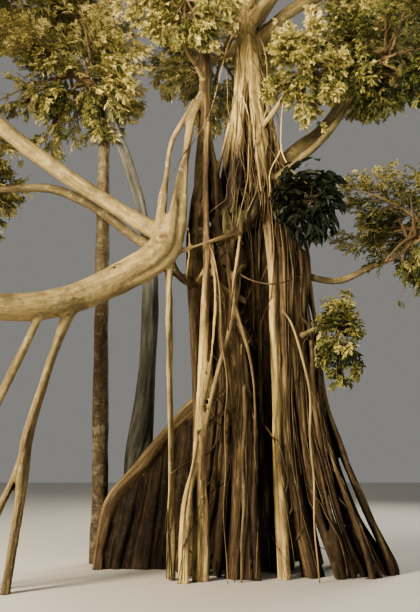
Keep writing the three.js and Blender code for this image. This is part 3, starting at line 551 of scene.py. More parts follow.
def root_path(top, angles, reach, flare=FLARE, sunk=SUNK):
    """A root's line down the trunk: it comes out at its top and spreads at its foot."""
    path = []
    for k in range(ROOT_POINTS + 1):
        share = k / ROOT_POINTS
        height = top * (1 - share)
        stands = lerp(sunk, STANDS, smoothstep(share, 0, COMES_OUT))
        spread = (reach - TRUNK_RADII[0] * STANDS) * math.exp(-height / flare)
        angle = np.interp(share, np.linspace(0, 1, len(angles)), angles)
        path.append(on_trunk(height, angle, stands, spread))
    return path + [(path[-1][0], path[-1][1], -BURIED)]


def strands_of(path, radii, owner, pale, count, seed, moss=0.0, loose=False):
    """A root or limb as strands that wind round its line."""
    whole = Tube(smooth_line(path), radii, owner, pale, seed, moss)
    if count < 2:
        return [whole]
    strands = []
    dice = Seeded(seed + 11)
    shape = LOOSE_STRANDS if loose else CLOSE_STRANDS
    gathered = smoothstep(whole.line[:, 2], *GATHER["heights"]) * (owner == "trunk")
    for k in range(count):
        start = 2 * math.pi * k / count + dice.draw(0, 1.5)
        sway = dice.draw(0, 6)
        turns = start + STRAND_TWIST * whole.run
        turns += WANDER["turn"] * np.sin(whole.run * WANDER["turns"] + sway)
        swell = WANDER["swell"] * np.sin(whole.run * WANDER["swells"] + sway)
        hold = shape["hold"] * whole.radii * (1 + swell)
        hold = hold * (1 - GATHER["closer"] * gathered)
        line = (
            whole.line
            + (hold * np.cos(turns))[:, None] * whole.sides
            + (hold * np.sin(turns))[:, None] * whole.ups
        )
        stout = shape["stout"] * dice.draw(0.85, 1.1)
        shade = np.atleast_1d(pale) * dice.draw(0.7, 1.15)
        strands.append(Tube(line, whole.radii * stout * (1 + GATHER["stouter"] * gathered), owner, shade,
                            seed * 10 + k, moss))
    return strands


def back_roots():
    rule = BACK_ROOTS
    dice = Seeded(rule["seed"])
    roots = []
    for k in range(rule["count"]):
        angle = lerp(*rule["angles"], (k + 0.5) / rule["count"])
        turns = [angle] + [angle + dice.draw(-stray, stray) for stray in rule["strays"]]
        path = root_path(dice.draw(*rule["tops"][k % 2]), turns, dice.draw(*rule["reach"]))
        stout = dice.draw(*rule["stout"])
        roots.append(dict(path=path, radii=[part * stout for part in rule["taper"]], pale=rule["pale"]))
    return roots


def cross_roots():
    rule = CROSS_ROOTS
    dice = Seeded(rule["seed"])
    roots = []
    for k in range(rule["count"]):
        start, end = (lerp(*rule["angles"], dice.draw()) for _ in range(2))
        height = lerp(*rule["heights"], (k + dice.draw()) / rule["count"])
        path = [
            on_trunk(height + rule["climb"] * (share - 0.5), lerp(start, end, share), stands)
            for share, stands in zip((-0.2, 0, 0.5, 1, 1.2), (0.6, *[rule["stands"]] * 3, 0.6))
        ]
        roots.append(dict(path=path, radii=rule["radii"], pale=rule["pale"], strands=1))
    return roots


# The heart: its radius as a share of the skin, low down and at the crown, and how much less on its front
CORE = dict(share=(0.64, 0.84), widens=(5.2, 8.5), drawn_in=0.24, corners=56, step=0.06, ribs=(0.12, 0.06),
            ribs_around=4, ribs_up=0.55, finer=2.3)
# The upright lines on it: the degrees between them, the step of their points, where they run, how stout
GUIDES = dict(turn=24, step=0.5, stands=0.6, stout=0.16, least=0.05, pale=-0.05)


def trunk_core():
    """The heart of the trunk: many ribs, and a dark cleft down its front."""
    heights = np.arange(-BURIED, TRUNK_HEIGHTS[-1] + 0.01, CORE["step"])
    turns = np.arange(CORE["corners"]) / CORE["corners"] * 2 * math.pi
    across, up = CORE["ribs_around"], CORE["ribs_up"]
    rings = []
    for height in heights:
        level = max(height, 0)
        wide = smoothstep(height, *CORE["widens"])
        x, y, _ = on_trunk(level, 0, 0)
        skin = on_trunk(level, 0, 1)[0] - x
        round_it = [np.cos(turns) * across, np.sin(turns) * across, np.full_like(turns, height * up)]
        round_it = np.stack(round_it, axis=1)
        broad, fine = CORE["ribs"]
        ribs = 1 + broad * soft_noise(round_it, 3) + fine * soft_noise(round_it * CORE["finer"], 4)
        front = np.clip(-np.sin(turns), 0, 1) * (1 - wide)
        ribs = ribs - CORE["drawn_in"] * front
        aside = np.abs((np.degrees(turns) - CLEFT["angle"] + 180) % 360 - 180)
        (low, high), (fades_below, fades_above) = CLEFT["heights"], CLEFT["fades"]
        tall = smoothstep(height, low, low + fades_below) * (1 - smoothstep(height, high - fades_above, high))
        notch = CLEFT["depth"] * tall * (1 - smoothstep(aside, CLEFT["width"] * 0.5, CLEFT["width"]))
        radius = skin * lerp(*CORE["share"], wide) * ribs * (1 - notch)
        ring = [x + radius * np.cos(turns), y + DEEP * radius * np.sin(turns), np.full_like(turns, height)]
        rings.append(np.stack(ring, axis=1))
    return closed_rings(np.array(rings))


def core_guides():
    """Upright lines on the heart that give its bark a grain."""
    guides = []
    heights = np.arange(0, TRUNK_HEIGHTS[-1], GUIDES["step"])
    for k, angle in enumerate(range(0, 360, GUIDES["turn"])):
        path = [on_trunk(height, angle, GUIDES["stands"]) for height in heights]
        radii = [GUIDES["stout"] * on_trunk(height, 0, 1)[0] for height in heights]
        radii = np.maximum(radii, GUIDES["least"])
        guides.append(Tube(smooth_line(path), radii, "trunk", GUIDES["pale"], FIRST_SEEDS["guides"] + k))
    return guides


def plank_place(x, height):
    near, far = PLANK["top"][0][0], PLANK["top"][-1][0]
    return (x, lerp(*PLANK["behind"], (x - near) / (far - near)), height)


def plank_tubes():
    """The plank of root: its thick top edge, and the roots that drop from it side by side."""
    rule = PLANK
    dice = Seeded(rule["seed"])
    top = [plank_place(x, z) for x, z in rule["top"]]
    edge = smooth_line(top)
    tubes = strands_of(top, rule["radii"], "trunk", rule["pale"], rule["strands"], 20)
    above = edge[edge[:, 2] > rule["lowest_drop"]]
    for k in range(rule["drops"]):
        x, y, top = above[int((k + 0.2 + 0.6 * dice.draw()) / rule["drops"] * (len(above) - 1))]
        foot = x - rule["slant"] * top * dice.draw(0.3, 1) * smoothstep(-x, *rule["slants"])
        foot = max(foot, rule["top"][-2][0] + 0.05)
        aside = y + dice.draw(-0.05, 0.03)
        path = [(x, y, top), (lerp(x, foot, 0.35), aside, top * 0.6), (foot, aside, 0.0),
                (foot, aside, -BURIED)]
        radius = dice.draw(*rule["drop_radii"])
        radii = [radius * 0.8, radius, radius * 1.2]
        pale = dice.draw(*rule["drop_pale"])
        tubes.append(Tube(smooth_line(path), radii, "trunk", pale, FIRST_SEEDS["drops"] + k))
    return tubes


def plank_web():
    """The thin sheet of wood under the plank's edge."""
    near = PLANK["top"][0][0]
    outline = PLANK["top"] + [(near, -BURIED)]
    places = []
    for side in (-0.5, 0.5):
        for x, z in outline:
            x, y, z = plank_place(x, z)
            places.append((x, y + side * PLANK["thick"], z))
    count = len(outline)
    faces = [(0, k + 1, k) for k in range(1, count - 1)]
    faces += [(count, count + k, count + k + 1) for k in range(1, count - 1)]
    for k in range(count):
        after = (k + 1) % count
        faces += [(k, after, count + after), (k, count + after, count + k)]
    return np.array(places), np.array(faces)


# Thin roots that run down between the stout ones, close to the trunk's skin. They leave the cleft bare, and
# fan out on the right.
SLIM_ROOTS = dict(
    count=22, angles=(205, 372), tops=(2.6, 6.4), stray=8, bare=(255, 284), fans=(300, 345),
    reach=(1.02, 1.72), uneven=(0.94, 1.04), flares=(FLARE, 1.9), sunk=0.25, radii=(0.018, 0.042),
    taper=(0.6, 0.85, 1, 1.1, 1.3), pale=(-0.05, 0.36), seed=41,
)


def slim_roots():
    rule = SLIM_ROOTS
    dice = Seeded(rule["seed"])
    tubes = []
    for k in range(rule["count"]):
        angle = lerp(*rule["angles"], (k + dice.draw()) / rule["count"])
        top = dice.draw(*rule["tops"])
        turns = [angle + dice.draw(-rule["stray"], rule["stray"]) for _ in range(5)]
        if rule["bare"][0] < angle < rule["bare"][1]:
            continue
        fans = smoothstep(angle, *rule["fans"])
        reach = lerp(*rule["reach"], fans) * dice.draw(*rule["uneven"])
        path = root_path(top, turns, reach, lerp(*rule["flares"], fans), rule["sunk"])
        stout = dice.draw(*rule["radii"])
        radii = [stout * part for part in rule["taper"]]
        pale = dice.draw(*rule["pale"])
        tubes.append(Tube(smooth_line(path), radii, "trunk", pale, FIRST_SEEDS["slim"] + k))
    return tubes


def ledge_tubes():
    """The ledge as a heap of short swollen roots that bend down over the cleft."""
    rule = LEDGE
    dice = Seeded(rule["seed"])
    line = smooth_line(rule["path"])
    tubes = []
    for k in range(rule["lumps"]):
        x, y, z = line[int((k + dice.draw()) / rule["lumps"] * (len(line) - 1))]
        aside = dice.draw(-rule["aside"], rule["aside"])
        near, low = dice.draw(*rule["near"]), dice.draw(*rule["low"])
        y_near, z_low = y + near, z + low
        path = [(x + aside, y + 0.3, z + dice.draw(*rule["rise"])),
                (x + aside * 0.5, y_near + 0.05, z_low + 0.16),
                (x, y_near, z_low - 0.03),
                (x - aside * 0.6, y + 0.2, z_low - dice.draw(*rule["fall"]))]
        stout = dice.draw(*rule["stout"])
        radii = [stout * part for part in rule["taper"]]
        tubes.append(Tube(smooth_line(path), radii, "trunk", dice.draw(*rule["pale"]),
                          FIRST_SEEDS["ledge"] + k, dice.draw(*rule["moss"])))
    return tubes


def trunk_tubes():
    tubes = []
    roots = [dict(path=root_path(r["top"], r["angles"], r["reach"], r.get("flare", FLARE), TOP_SUNK), **r)
             for r in FRONT_ROOTS]
    roots += back_roots() + cross_roots() + LEFT_ROOTS
    for k, root in enumerate(roots):
        loose = root.get("loose", False)
        count = root.get("strands", 6 if loose else 4 if k < len(FRONT_ROOTS) else 3)
        moss = root.get("moss", 0.0)
        tubes += strands_of(root["path"], root["radii"], "trunk", root["pale"], count, k + 1, moss, loose)
    return tubes + ledge_tubes() + plank_tubes() + slim_roots()


# How smooth the bark is: 0 on roots and 1 on old boughs
SMOOTH_BOUGH = 0.95
SMOOTH_TOP = 0.5
SMOOTH_THIN = 0.2
# A limb's bark becomes its own from a share of its collar to this far past it
COLLAR_SHARE = 0.6
SMOOTH_RUN = 0.5


def limb_tubes(name):
    rule = LIMBS[name]
    owner = rule.get("joins", name)
    seed = 60 + 5 * list(LIMBS).index(name)
    bearer, collar = rule.get("grows_from", owner), rule.get("collar", 0.0)
    tubes = strands_of(rule["path"], rule["radii"], owner, rule["pale"], rule.get("strands", 1), seed)
    paler = LIMBS.get(bearer, rule)["pale"] - rule["pale"]
    for tube in tubes:
        tube.bearer, tube.collar = bearer, collar
        own = smoothstep(tube.run, COLLAR_SHARE * collar, collar + SMOOTH_RUN)
        tube.pale = tube.pale + paler * (1 - own)
    for k, part in enumerate(rule.get("extra", [])):
        count = part.get("strands", 3)
        tubes += strands_of(part["path"], part["radii"], owner, rule["pale"], count, seed + k + 1)
    smooth = rule.get("smooth", SMOOTH_BOUGH)
    for tube in tubes:
        start = SMOOTH_TOP if bearer == "trunk" else SMOOTH_BOUGH if tube.collar else smooth
        own = smoothstep(tube.run, COLLAR_SHARE * tube.collar, collar + SMOOTH_RUN)
        tube.smooth = lerp(start, smooth, own)
    return tubes


def every_limb():
    return [tube for name in LIMBS for tube in limb_tubes(name)]


# The rim of the knot hole in the fork
KNOT = dict(middle=(-1.22, -0.845, 4.69), across=0.045, high=0.03, stout=0.016, spacing=0.02, pale=0.6)


def fork_knot():
    turns = np.linspace(0, 2 * math.pi, 13)
    x, y, z = KNOT["middle"]
    path = [(x + KNOT["across"] * math.cos(turn), y, z + KNOT["high"] * math.sin(turn)) for turn in turns]
    line = smooth_line(path, KNOT["spacing"])
    return [Tube(line, [KNOT["stout"]], "fork_left", KNOT["pale"], FIRST_SEEDS["knot"])]


# One skin over many tubes

VOXEL = 0.021
# Where the bark is paler or darker than its root's own: the grown-together top of the trunk, the band painted
# with the crown's shade under it, and the roots' feet, painted with shade low down, but not those already
# pale
PALE_TOP = dict(heights=(6.0, 6.9), pale=0.98, share=0.8, from_x=(-0.5, -0.25))
DIM_BAND = dict(heights=(4.7, 5.2, 6.0, 6.5), darker=0.44, from_x=-0.4)
FOOT_SHADE = dict(heights=(0.1, 2.2), darker=0.2, spared_from=0.6)
SHADED = [  # the place, how far its shade reaches and how dark it is
    ((0.72, -0.3, 5.0), 0.9, 0.3), ((-2.36, 0.92, 1.8), 2.4, 0.16), ((-0.585, -0.3, 5.7), 1.1, 0.3),
]
SHADE_CORE = 0.4  # the share of its reach that is fully shaded
MOSSY = [((-0.2, -0.5, 3.8), 0.28), ((-0.72, -0.1, 5.3), 0.8)]  # the place and how far its moss reaches
MOSS_CORE = 0.3
MOSS_COVER = 0.75
# Ribs, finer ridges and slow swellings: how high, and how many to the metre across the grain and along it
RELIEF = ((0.013, 11.0, 0.9), (0.005, 26.0, 2.2), (0.01, 5.0, 3.0))
SMOOTHER = 0.7  # how much of the ribs and ridges the smoothest bark loses
GRAIN_APART = 3.7  # how far apart two tubes lie in the bark's coordinates
NEAREST_POINTS = 8
# The rays that feel how shut in a place is, for the shade painted there: their reach, how far off the skin
# they start, how much they lean
HOLLOWS = dict(reach=0.45, lift=0.006, lean=1.105, rays=5, deeper=1.5)


def edge_smoothed(values, edges, count, rounds):
    """Values at the mesh's points, each drawn towards its neighbours' mean."""
    both = np.concatenate([edges, edges[:, ::-1]])
    degree = np.maximum(np.bincount(both[:, 0], minlength=count), 1)
    for _ in range(rounds):
        mean = [
            np.bincount(both[:, 0], weights=values[both[:, 1], k], minlength=count) / degree
            for k in range(values.shape[1])
        ]
        values = lerp(values, np.stack(mean, axis=1), 0.5)
    return values


class Skin:
    """The places, faces and bark coordinates of one skin over a set of tubes."""

    def __init__(self, tubes, solids):
        rough = new_object("rough", *join_meshes(solids))
        remesh = rough.modifiers.new("skin", "REMESH")
        remesh.mode = "VOXEL"
        remesh.voxel_size = VOXEL
        graph = bpy.context.evaluated_depsgraph_get()
        mesh = bpy.data.meshes.new_from_object(rough.evaluated_get(graph))
        discard(rough)
        count = len(mesh.vertices)
        self.places = np.empty(count * 3, np.float32)
        mesh.vertices.foreach_get("co", self.places)
        self.places = self.places.reshape(-1, 3).astype(float)
        edges = np.empty(len(mesh.edges) * 2, np.int32)
        mesh.edges.foreach_get("vertices", edges)
        self.edges = edges.reshape(-1, 2)
        faces = np.empty(len(mesh.loops), np.int32)
        mesh.loops.foreach_get("vertex_index", faces)
        self.faces = faces.reshape(-1, 4)
        bpy.data.meshes.remove(mesh)
        self.places = edge_smoothed(self.places, self.edges, count, 2)
        self.find_grain(tubes)
        self.raise_relief()
        self.places[:, 2] = np.maximum(self.places[:, 2], 0)

    def normals(self):
        a, b, c, d = (self.places[self.faces[:, k]] for k in range(4))
        flat = np.cross(c - a, d - b)
        total = np.zeros_like(self.places)
        for k in range(4):
            np.add.at(total, self.faces[:, k], flat)
        return unit(total)

    def find_grain(self, tubes):
        """For each point, the tube that it lies on, its place round and along that tube, and its bark."""
        lines, radii = (np.concatenate([getattr(tube, part) for tube in tubes]) for part in ("line", "radii"))
        tree = tree_of(lines)
        nearest = np.empty(len(self.places), int)
        for k, place in enumerate(self.places):
            found = tree.find_n(place, NEAREST_POINTS)
            nearest[k] = min(found, key=lambda hit: hit[2] - radii[hit[1]])[1]
        number = np.concatenate([np.full(len(tube.line), k) for k, tube in enumerate(tubes)])[nearest]

        def by_point(part):
            return np.concatenate([getattr(tube, part) for tube in tubes])[nearest]

        def by_tube(part):
            return np.array([getattr(tube, part) for tube in tubes])[number]

        away = self.places - lines[nearest]
        frame_parts = (by_point(part) for part in ("sides", "ups", "ways"))
        around, above, ahead = (np.einsum("ij,ij->i", away, part) for part in frame_parts)
        along = by_point("run") + ahead
        apart = number * GRAIN_APART
        self.grain = np.stack([around + apart, above - apart, along], axis=1)
        self.pale, self.smooth, self.moss = by_point("pale"), by_point("smooth"), by_tube("moss")
        owner = by_tube("owner")
        self.owner = np.where(along < by_tube("collar"), by_tube("bearer"), owner)
        self.shade_bark(owner == "trunk")

    def near(self, place, reach, core):
        """1 within a share of a place's reach, and 0 beyond its reach."""
        away = np.linalg.norm(self.places - place, axis=1)
        return 1 - smoothstep(away, core * reach, reach)

    def shade_bark(self, of_trunk):
        x, height = self.places[:, 0], self.places[:, 2]
        high = smoothstep(height, *PALE_TOP["heights"]) * of_trunk
        high *= smoothstep(x, *PALE_TOP["from_x"])
        low, below, above, top = DIM_BAND["heights"]
        band = smoothstep(height, low, below) * (1 - smoothstep(height, above, top))
        self.pale -= DIM_BAND["darker"] * band * of_trunk * (x > DIM_BAND["from_x"])
        self.pale = lerp(self.pale, PALE_TOP["pale"], PALE_TOP["share"] * high)
        self.smooth = np.maximum(self.smooth, SMOOTH_TOP * high)
        # painted shade on the roots' feet, near the ground
        foot = 1 - smoothstep(height, *FOOT_SHADE["heights"])
        self.pale -= FOOT_SHADE["darker"] * foot * (self.pale < FOOT_SHADE["spared_from"])
        for place, reach, darker in SHADED:
            self.pale -= darker * self.near(place, reach, SHADE_CORE)
        for place, reach in MOSSY:
            self.moss = np.maximum(self.moss, MOSS_COVER * self.near(place, reach, MOSS_CORE))

    def raise_relief(self):
        rib, ridge, swelling = (
            high * soft_noise(self.grain * (across, across, along), seed)
            for seed, (high, across, along) in enumerate(RELIEF, 1)
        )
        height = (rib + ridge) * (1 - SMOOTHER * self.smooth) + swelling
        self.places += self.normals() * height[:, None]

    def find_hollows(self):
        """How shut in each point is, from 0 in the open to 1 in a crevice, where shade is painted on the
        bark.
        """
        tree = BVHTree.FromPolygons(self.places.tolist(), self.faces.tolist())
        normals = self.normals()
        across, over = sideways(normals)
        shut = np.zeros(len(self.places))
        starts = self.places + normals * HOLLOWS["lift"]
        reach, rays = HOLLOWS["reach"], HOLLOWS["rays"]
        leans = [(0.0, 0.0)] + [(HOLLOWS["lean"], 2 * math.pi * k / rays) for k in range(rays)]
        for lean, turn in leans:
            ways = unit(normals + lean * (math.cos(turn) * across + math.sin(turn) * over))
            for k in range(len(starts)):
                distance = tree.ray_cast(starts[k], ways[k], reach)[3]
                if distance is not None:
                    shut[k] += 1 - distance / reach
        shut = np.clip(shut / len(leans) * HOLLOWS["deeper"], 0, 1)
        return edge_smoothed(shut[:, None], self.edges, len(shut), 2)[:, 0]

    def finish(self):
        self.point_normals = self.normals()
        self.hollow_shade = self.find_hollows()
        both = np.stack([self.pale, self.smooth], axis=1)
        self.pale, self.smooth = edge_smoothed(both, self.edges, len(self.pale), 3).T

    def piece(self, name, keep):
        """A closed object from the faces that are kept, with the bark's coordinates on its points."""
        faces = self.faces[keep]
        used, inverse = np.unique(faces.ravel(), return_inverse=True)
        piece = new_object(name, self.places[used], inverse.reshape(-1, 4))
        add_values(piece.data, "grain", self.grain[used], "FLOAT_VECTOR")
        for value in ("pale", "hollow_shade", "moss", "smooth"):
            add_values(piece.data, value, getattr(self, value)[used], "FLOAT")
        close(piece.data)
        piece.data.normals_split_custom_set_from_vertices(self.point_normals[used].tolist())
        return piece


def add_values(mesh, name, values, kind):
    layer = mesh.attributes.new(name, kind, "POINT")
    layer.data.foreach_set("vector" if kind == "FLOAT_VECTOR" else "value", values.astype(np.float32).ravel())


def close(mesh):
    """Caps a piece where it was parted from its neighbour."""
    work = bmesh.new()
    work.from_mesh(mesh)
    rim = [edge for edge in work.edges if edge.is_boundary]
    if rim:
        made = bmesh.ops.holes_fill(work, edges=rim, sides=0)
        bmesh.ops.triangulate(work, faces=made["faces"])
        work.to_mesh(mesh)
    work.free()


# The wood's pieces

STOUT = 0.06  # the radius from which a tube has more corners
FLUTES = 0.09  # how deep the tubes' flutes are, as a share of their radius
TRUNK_PARTS = {
    "trunk_foot": (-1.0, 0.8), "trunk_low": (0.8, 2.0), "trunk_middle": (2.0, 3.5), "trunk_high": (3.5, 5.2),
    "trunk_top": (5.2, 20.0),
}


def whole_skin():
    """One skin over the trunk and every limb that grows from it."""
    tubes = trunk_tubes() + fork_knot() + every_limb()
    corners = [14 if tube.radii.max() > STOUT else 10 for tube in tubes]
    solids = [tube.mesh(count, FLUTES) for tube, count in zip(tubes, corners)]
    skin = Skin(tubes + core_guides(), solids + [trunk_core(), plank_web()])
    skin.finish()
    return skin


def part_skin(skin):
    """The skin's pieces, each with the nodes that it stands for."""
    owner = skin.owner[skin.faces[:, 0]]
    height = skin.places[skin.faces[:, 0], 2]
    pieces = []
    for name, (low, high) in TRUNK_PARTS.items():
        keep = (owner == "trunk") & (height > low) & (height <= high)
        pieces.append((skin.piece(name, keep), ["trunk"]))
    for name, rule in LIMBS.items():
        if "joins" not in rule:
            nodes = [name, f"{name}_end"] if name == "bough_left_low" else [name]
            pieces.append((skin.piece(f"bark_{name}", owner == name), nodes))
    return pieces


def tube_piece(name, tubes, corners):
    """Thin roots and vines, joined into one object."""
    meshes = [tube.mesh(corners) for tube in tubes]
    places, faces = join_meshes(meshes)
    places[:, 2] = np.maximum(places[:, 2], 0)
    piece = new_object(name, places, faces)
    grain, pale = [], []
    for k, tube in enumerate(tubes):
        turns = np.arange(corners) / corners * 2 * math.pi
        ring = tube.radii[:, None, None] * np.stack([np.cos(turns), np.sin(turns)], axis=1)
        along = np.broadcast_to(tube.run[:, None, None], (len(tube.run), corners, 1))
        rows = np.concatenate([ring, along], axis=2).reshape(-1, 3) + (k * GRAIN_APART, -k * GRAIN_APART, 0)
        grain.append(np.vstack([rows, rows[:1], rows[-1:]]))
        pale.append(np.full(len(rows) + 2, tube.pale[0]))
    add_values(piece.data, "grain", np.vstack(grain), "FLOAT_VECTOR")
    add_values(piece.data, "pale", np.concatenate(pale), "FLOAT")
    add_values(piece.data, "hollow_shade", np.zeros(len(places)), "FLOAT")
    add_values(piece.data, "smooth", np.full(len(places), SMOOTH_THIN), "FLOAT")
    return piece


# Fine roots that creep down over the trunk, all over its front and closer together above the ledge
FINE_ROOTS = [
    dict(count=44, angles=(222, 352), tops=(2.2, 6.6), feet=(0.0, 2.4), to_ground=0.6, stray=4,
         radii=(0.006, 0.014), pale=(0.0, 0.5), seed=17),
    dict(count=18, angles=(232, 296), tops=(5.9, 7.3), feet=(4.9, 5.5), to_ground=0.0, stray=6,
         radii=(0.006, 0.013), pale=(-0.25, 0.3), seed=19),
]
CREEP_STEP = 0.06
OUTSIDE = ([0, 2.5, 9], [2.3, 1.3, 0.9])  # heights, and how far from the trunk's axis is outside it there
# How many steps a gap is bridged and a line is smoothed over, and how far a line may sink into a gap
BRIDGE, EVEN_OUT, SINKS = 7, 5, 0.05


def running_mean(values, width):
    padded = np.pad(values, width // 2, mode="edge")
    return np.convolve(padded, np.ones(width) / width, mode="valid")


def creeping_line(tree, angles, top, foot, lift):
    """A line that runs down the trunk's skin and bridges its narrow gaps."""
    heights = np.arange(top, foot, -CREEP_STEP)
    turns = np.radians(spread_along(angles, len(heights)))
    ways = np.stack([np.cos(turns), DEEP * np.sin(turns), np.zeros_like(turns)], axis=1)
    axis = np.array([on_trunk(max(height, 0), 0, 0) for height in heights])
    axis[:, 2] = heights
    outside = np.interp(heights, *OUTSIDE)
    far = np.zeros(len(heights))
    for k in range(len(heights)):
        distance = tree.ray_cast(axis[k] + ways[k] * outside[k], -ways[k])[3]
        far[k] = outside[k] - distance if distance is not None else outside[k] * 0.5
    far = np.maximum(far, running_mean(far, BRIDGE) - SINKS)
    far = running_mean(far, EVEN_OUT) + lift
    return axis + ways * far[:, None]


def fine_roots(skin):
    tree = BVHTree.FromPolygons(skin.places.tolist(), skin.faces.tolist())
    tubes = []
    for rule in FINE_ROOTS:
        dice = Seeded(rule["seed"])
        for k in range(rule["count"]):
            angle = lerp(*rule["angles"], (k + dice.draw()) / rule["count"])
            angles = [angle]
            for _ in range(6):
                angles.append(angles[-1] + dice.draw(-rule["stray"], rule["stray"]))
            top = dice.draw(*rule["tops"])
            foot = dice.draw(*rule["feet"]) * (dice.draw() > rule["to_ground"])
            radius = dice.draw(*rule["radii"])
            line = creeping_line(tree, angles, top, min(foot, top - 1.2), radius * 0.3)
            radii = [radius * 0.5, radius, radius * 1.1, radius * 0.8]
            tubes.append(Tube(line, radii, "trunk", dice.draw(*rule["pale"]), FIRST_SEEDS["creeping"] + k))
    return tubes


# Vines and thin roots that hang clear of the trunk
VINES = [
    dict(path=[(-0.12, -0.3, 4.35), (-0.04, -0.55, 4.17), (0.16, -0.66, 4.05), (0.4, -0.68, 4.02),
               (0.62, -0.6, 4.1), (0.84, -0.4, 4.24)], radius=0.015, pale=0.15),
    dict(path=[(-0.62, -0.5, 4.9), (-0.45, -0.6, 4.4), (-0.38, -0.66, 3.6), (-0.3, -0.72, 2.4),
               (-0.34, -0.85, 1.0), (-0.3, -0.95, 0.0)], radius=0.012, pale=0.5),
    dict(path=[(0.42, 0.02, 3.95), (0.62, -0.36, 3.6), (0.74, -0.5, 3.25), (0.83, -0.62, 2.8),
               (0.86, -0.74, 1.8), (0.85, -0.84, 0.8), (0.88, -0.9, 0.0)], radius=0.02, pale=0.7),
    dict(path=[(-0.02, -0.3, 2.7), (-0.04, -0.5, 2.35), (-0.05, -0.62, 1.8), (-0.08, -0.72, 1.1),
               (-0.12, -0.86, 0.0)], radius=0.03, pale=0.3),
    dict(path=[(0.3, -0.1, 8.6), (0.42, -0.26, 7.7), (0.36, -0.36, 7.0), (0.2, -0.44, 6.3),
               (0.24, -0.6, 5.5)], radius=0.012, pale=0.8),
    dict(path=[(-0.08, -0.08, 8.4), (-0.02, -0.28, 7.4), (0.1, -0.4, 6.6), (0.06, -0.5, 5.9),
               (-0.04, -0.56, 5.3), (-0.12, -0.46, 4.98)], radius=0.012, pale=0.6),
    dict(path=[(0.64, -0.5, 7.1), (0.56, -0.6, 6.55), (0.6, -0.62, 6.1), (0.76, -0.64, 5.75),
               (1.0, -0.72, 5.5)], radius=0.012, pale=0.9),
    dict(path=[(0.57, -0.6, 6.2), (0.42, -0.56, 5.85), (0.36, -0.62, 5.4)], radius=0.009, pale=0.85),
]
VINE_SWAY = dict(out=0.02, waves=(5, 4))
# Thin roots that hang over the upper trunk, each from one place of its skin to another lower down
LOOPS = dict(count=20, angles=(216, 316), tops=(7.0, 9.1), drops=(1.2, 3.0), lowest=5.3, strays=(-44, 44),
             out=(0.06, 0.36), radii=(0.005, 0.009), pale=(0.0, 0.6), shares=(0, 0.3, 0.7, 1),
             stands=(0.82, 1.05, 1.05, 0.82), bend=5, sway=0.035, sways=3.1, seed=29)


def vine_tubes():
    tubes = []
    across, deep = VINE_SWAY["waves"]
    for k, vine in enumerate(VINES):
        line = smooth_line(vine["path"])
        height = line[:, 2]
        sway = np.stack([np.sin(k + across * height), np.cos(k + deep * height), 0 * height], axis=1)
        bent = line + VINE_SWAY["out"] * sway * np.sin(np.linspace(0, math.pi, len(line)))[:, None]
        radii = [vine["radius"], vine["radius"] * 0.85, vine["radius"] * 0.5]
        tubes.append(Tube(bent, radii, "trunk", vine["pale"], FIRST_SEEDS["vines"] + k))
    return tubes + loop_tubes()


def loop_tubes():
    rule = LOOPS
    dice = Seeded(rule["seed"])
    tubes = []
    for k in range(rule["count"]):
        angle = lerp(*rule["angles"], (k + dice.draw()) / rule["count"])
        top = dice.draw(*rule["tops"])
        foot = max(top - dice.draw(*rule["drops"]), rule["lowest"])
        turned = np.clip(angle + dice.draw(*rule["strays"]), *rule["angles"])
        out = dice.draw(*rule["out"])
        path = []
        for share, stands in zip(rule["shares"], rule["stands"]):
            spread = out * math.sin(math.pi * share)
            bend = lerp(angle, turned, share) + dice.draw(-rule["bend"], rule["bend"])
            path.append(on_trunk(lerp(top, foot, share), bend, stands, spread))
        radius = dice.draw(*rule["radii"])
        line = smooth_line(path)
        for axis in (0, 1):
            shift = (17.0 * k, 5.0 * axis, 0)
            line[:, axis] += rule["sway"] * soft_noise(line * rule["sways"] + shift, 6)
        radii = [radius, radius * 0.8, radius * 0.5]
        tubes.append(Tube(line, radii, "trunk", dice.draw(*rule["pale"]), FIRST_SEEDS["loops"] + k))
    return tubes


# The masses' growth

SHARE_GAP = 0.025
STEM = dict(past=0.25, bend=0.3, taper=[0.9, 0.7, 0.25])
SHOOT = dict(start=(0.35, 0.9), reach=(0.68, 0.84), stray=0.6, arch=0.06, spacing=0.12, stout=0.024,
             taper=(1, 0.7, 0.2))
# A shoot that leaves its mass's space is drawn in by steps down to the shortest, a twig or spray by shares
SHORTER = 0.09
SHORTEST = 0.3
DRAWN_IN = dict(times=6, share=0.82)
SEEDS = dict(first=101, step=37)
# How each kind of mass is carried to finer twigs, the length and width of its leaves, and the span of its
# leaf hues, from painted shade to painted sun
FULL = dict(shoots=2.2, twigs=14, sprays=8, leaves=8, leaf=0.165, wide=0.46, hues=(0.18, 1.1))
FAR = dict(shoots=2.4, twigs=15, sprays=10, leaves=10, leaf=0.115, wide=0.46, hues=(0.2, 1.25))
NEAR = dict(shoots=2.6, twigs=16, sprays=11, leaves=12, leaf=0.075, wide=0.46, hues=(0.18, 1.25))
DULL = dict(NEAR, hues=(0.1, 1.0))
SMALL = dict(shoots=2.6, twigs=15, sprays=11, leaves=12, leaf=0.058, wide=0.44, hues=(0.22, 1.2))
DARK = dict(shoots=2.4, twigs=7, sprays=4, leaves=4, leaf=0.25, wide=0.4, hues=(-0.25, 0.3),
            reach=(0.5, 0.95), hang=0.55)
SPROUT = dict(shoots=2.2, twigs=8, sprays=6, leaves=7, leaf=0.085, wide=0.5, hues=(0.1, 0.95))
GROWTH = {
    "crown_back": FAR, "crown_left_rear": FAR, "crown_back_right": FAR,
    "left_rear": NEAR, "left_inner": NEAR, "right_inner": DULL, "right_low": DULL,
    "front_left": SMALL, "front_right": SMALL, "shade": DARK, "sprouts": SPROUT,
}
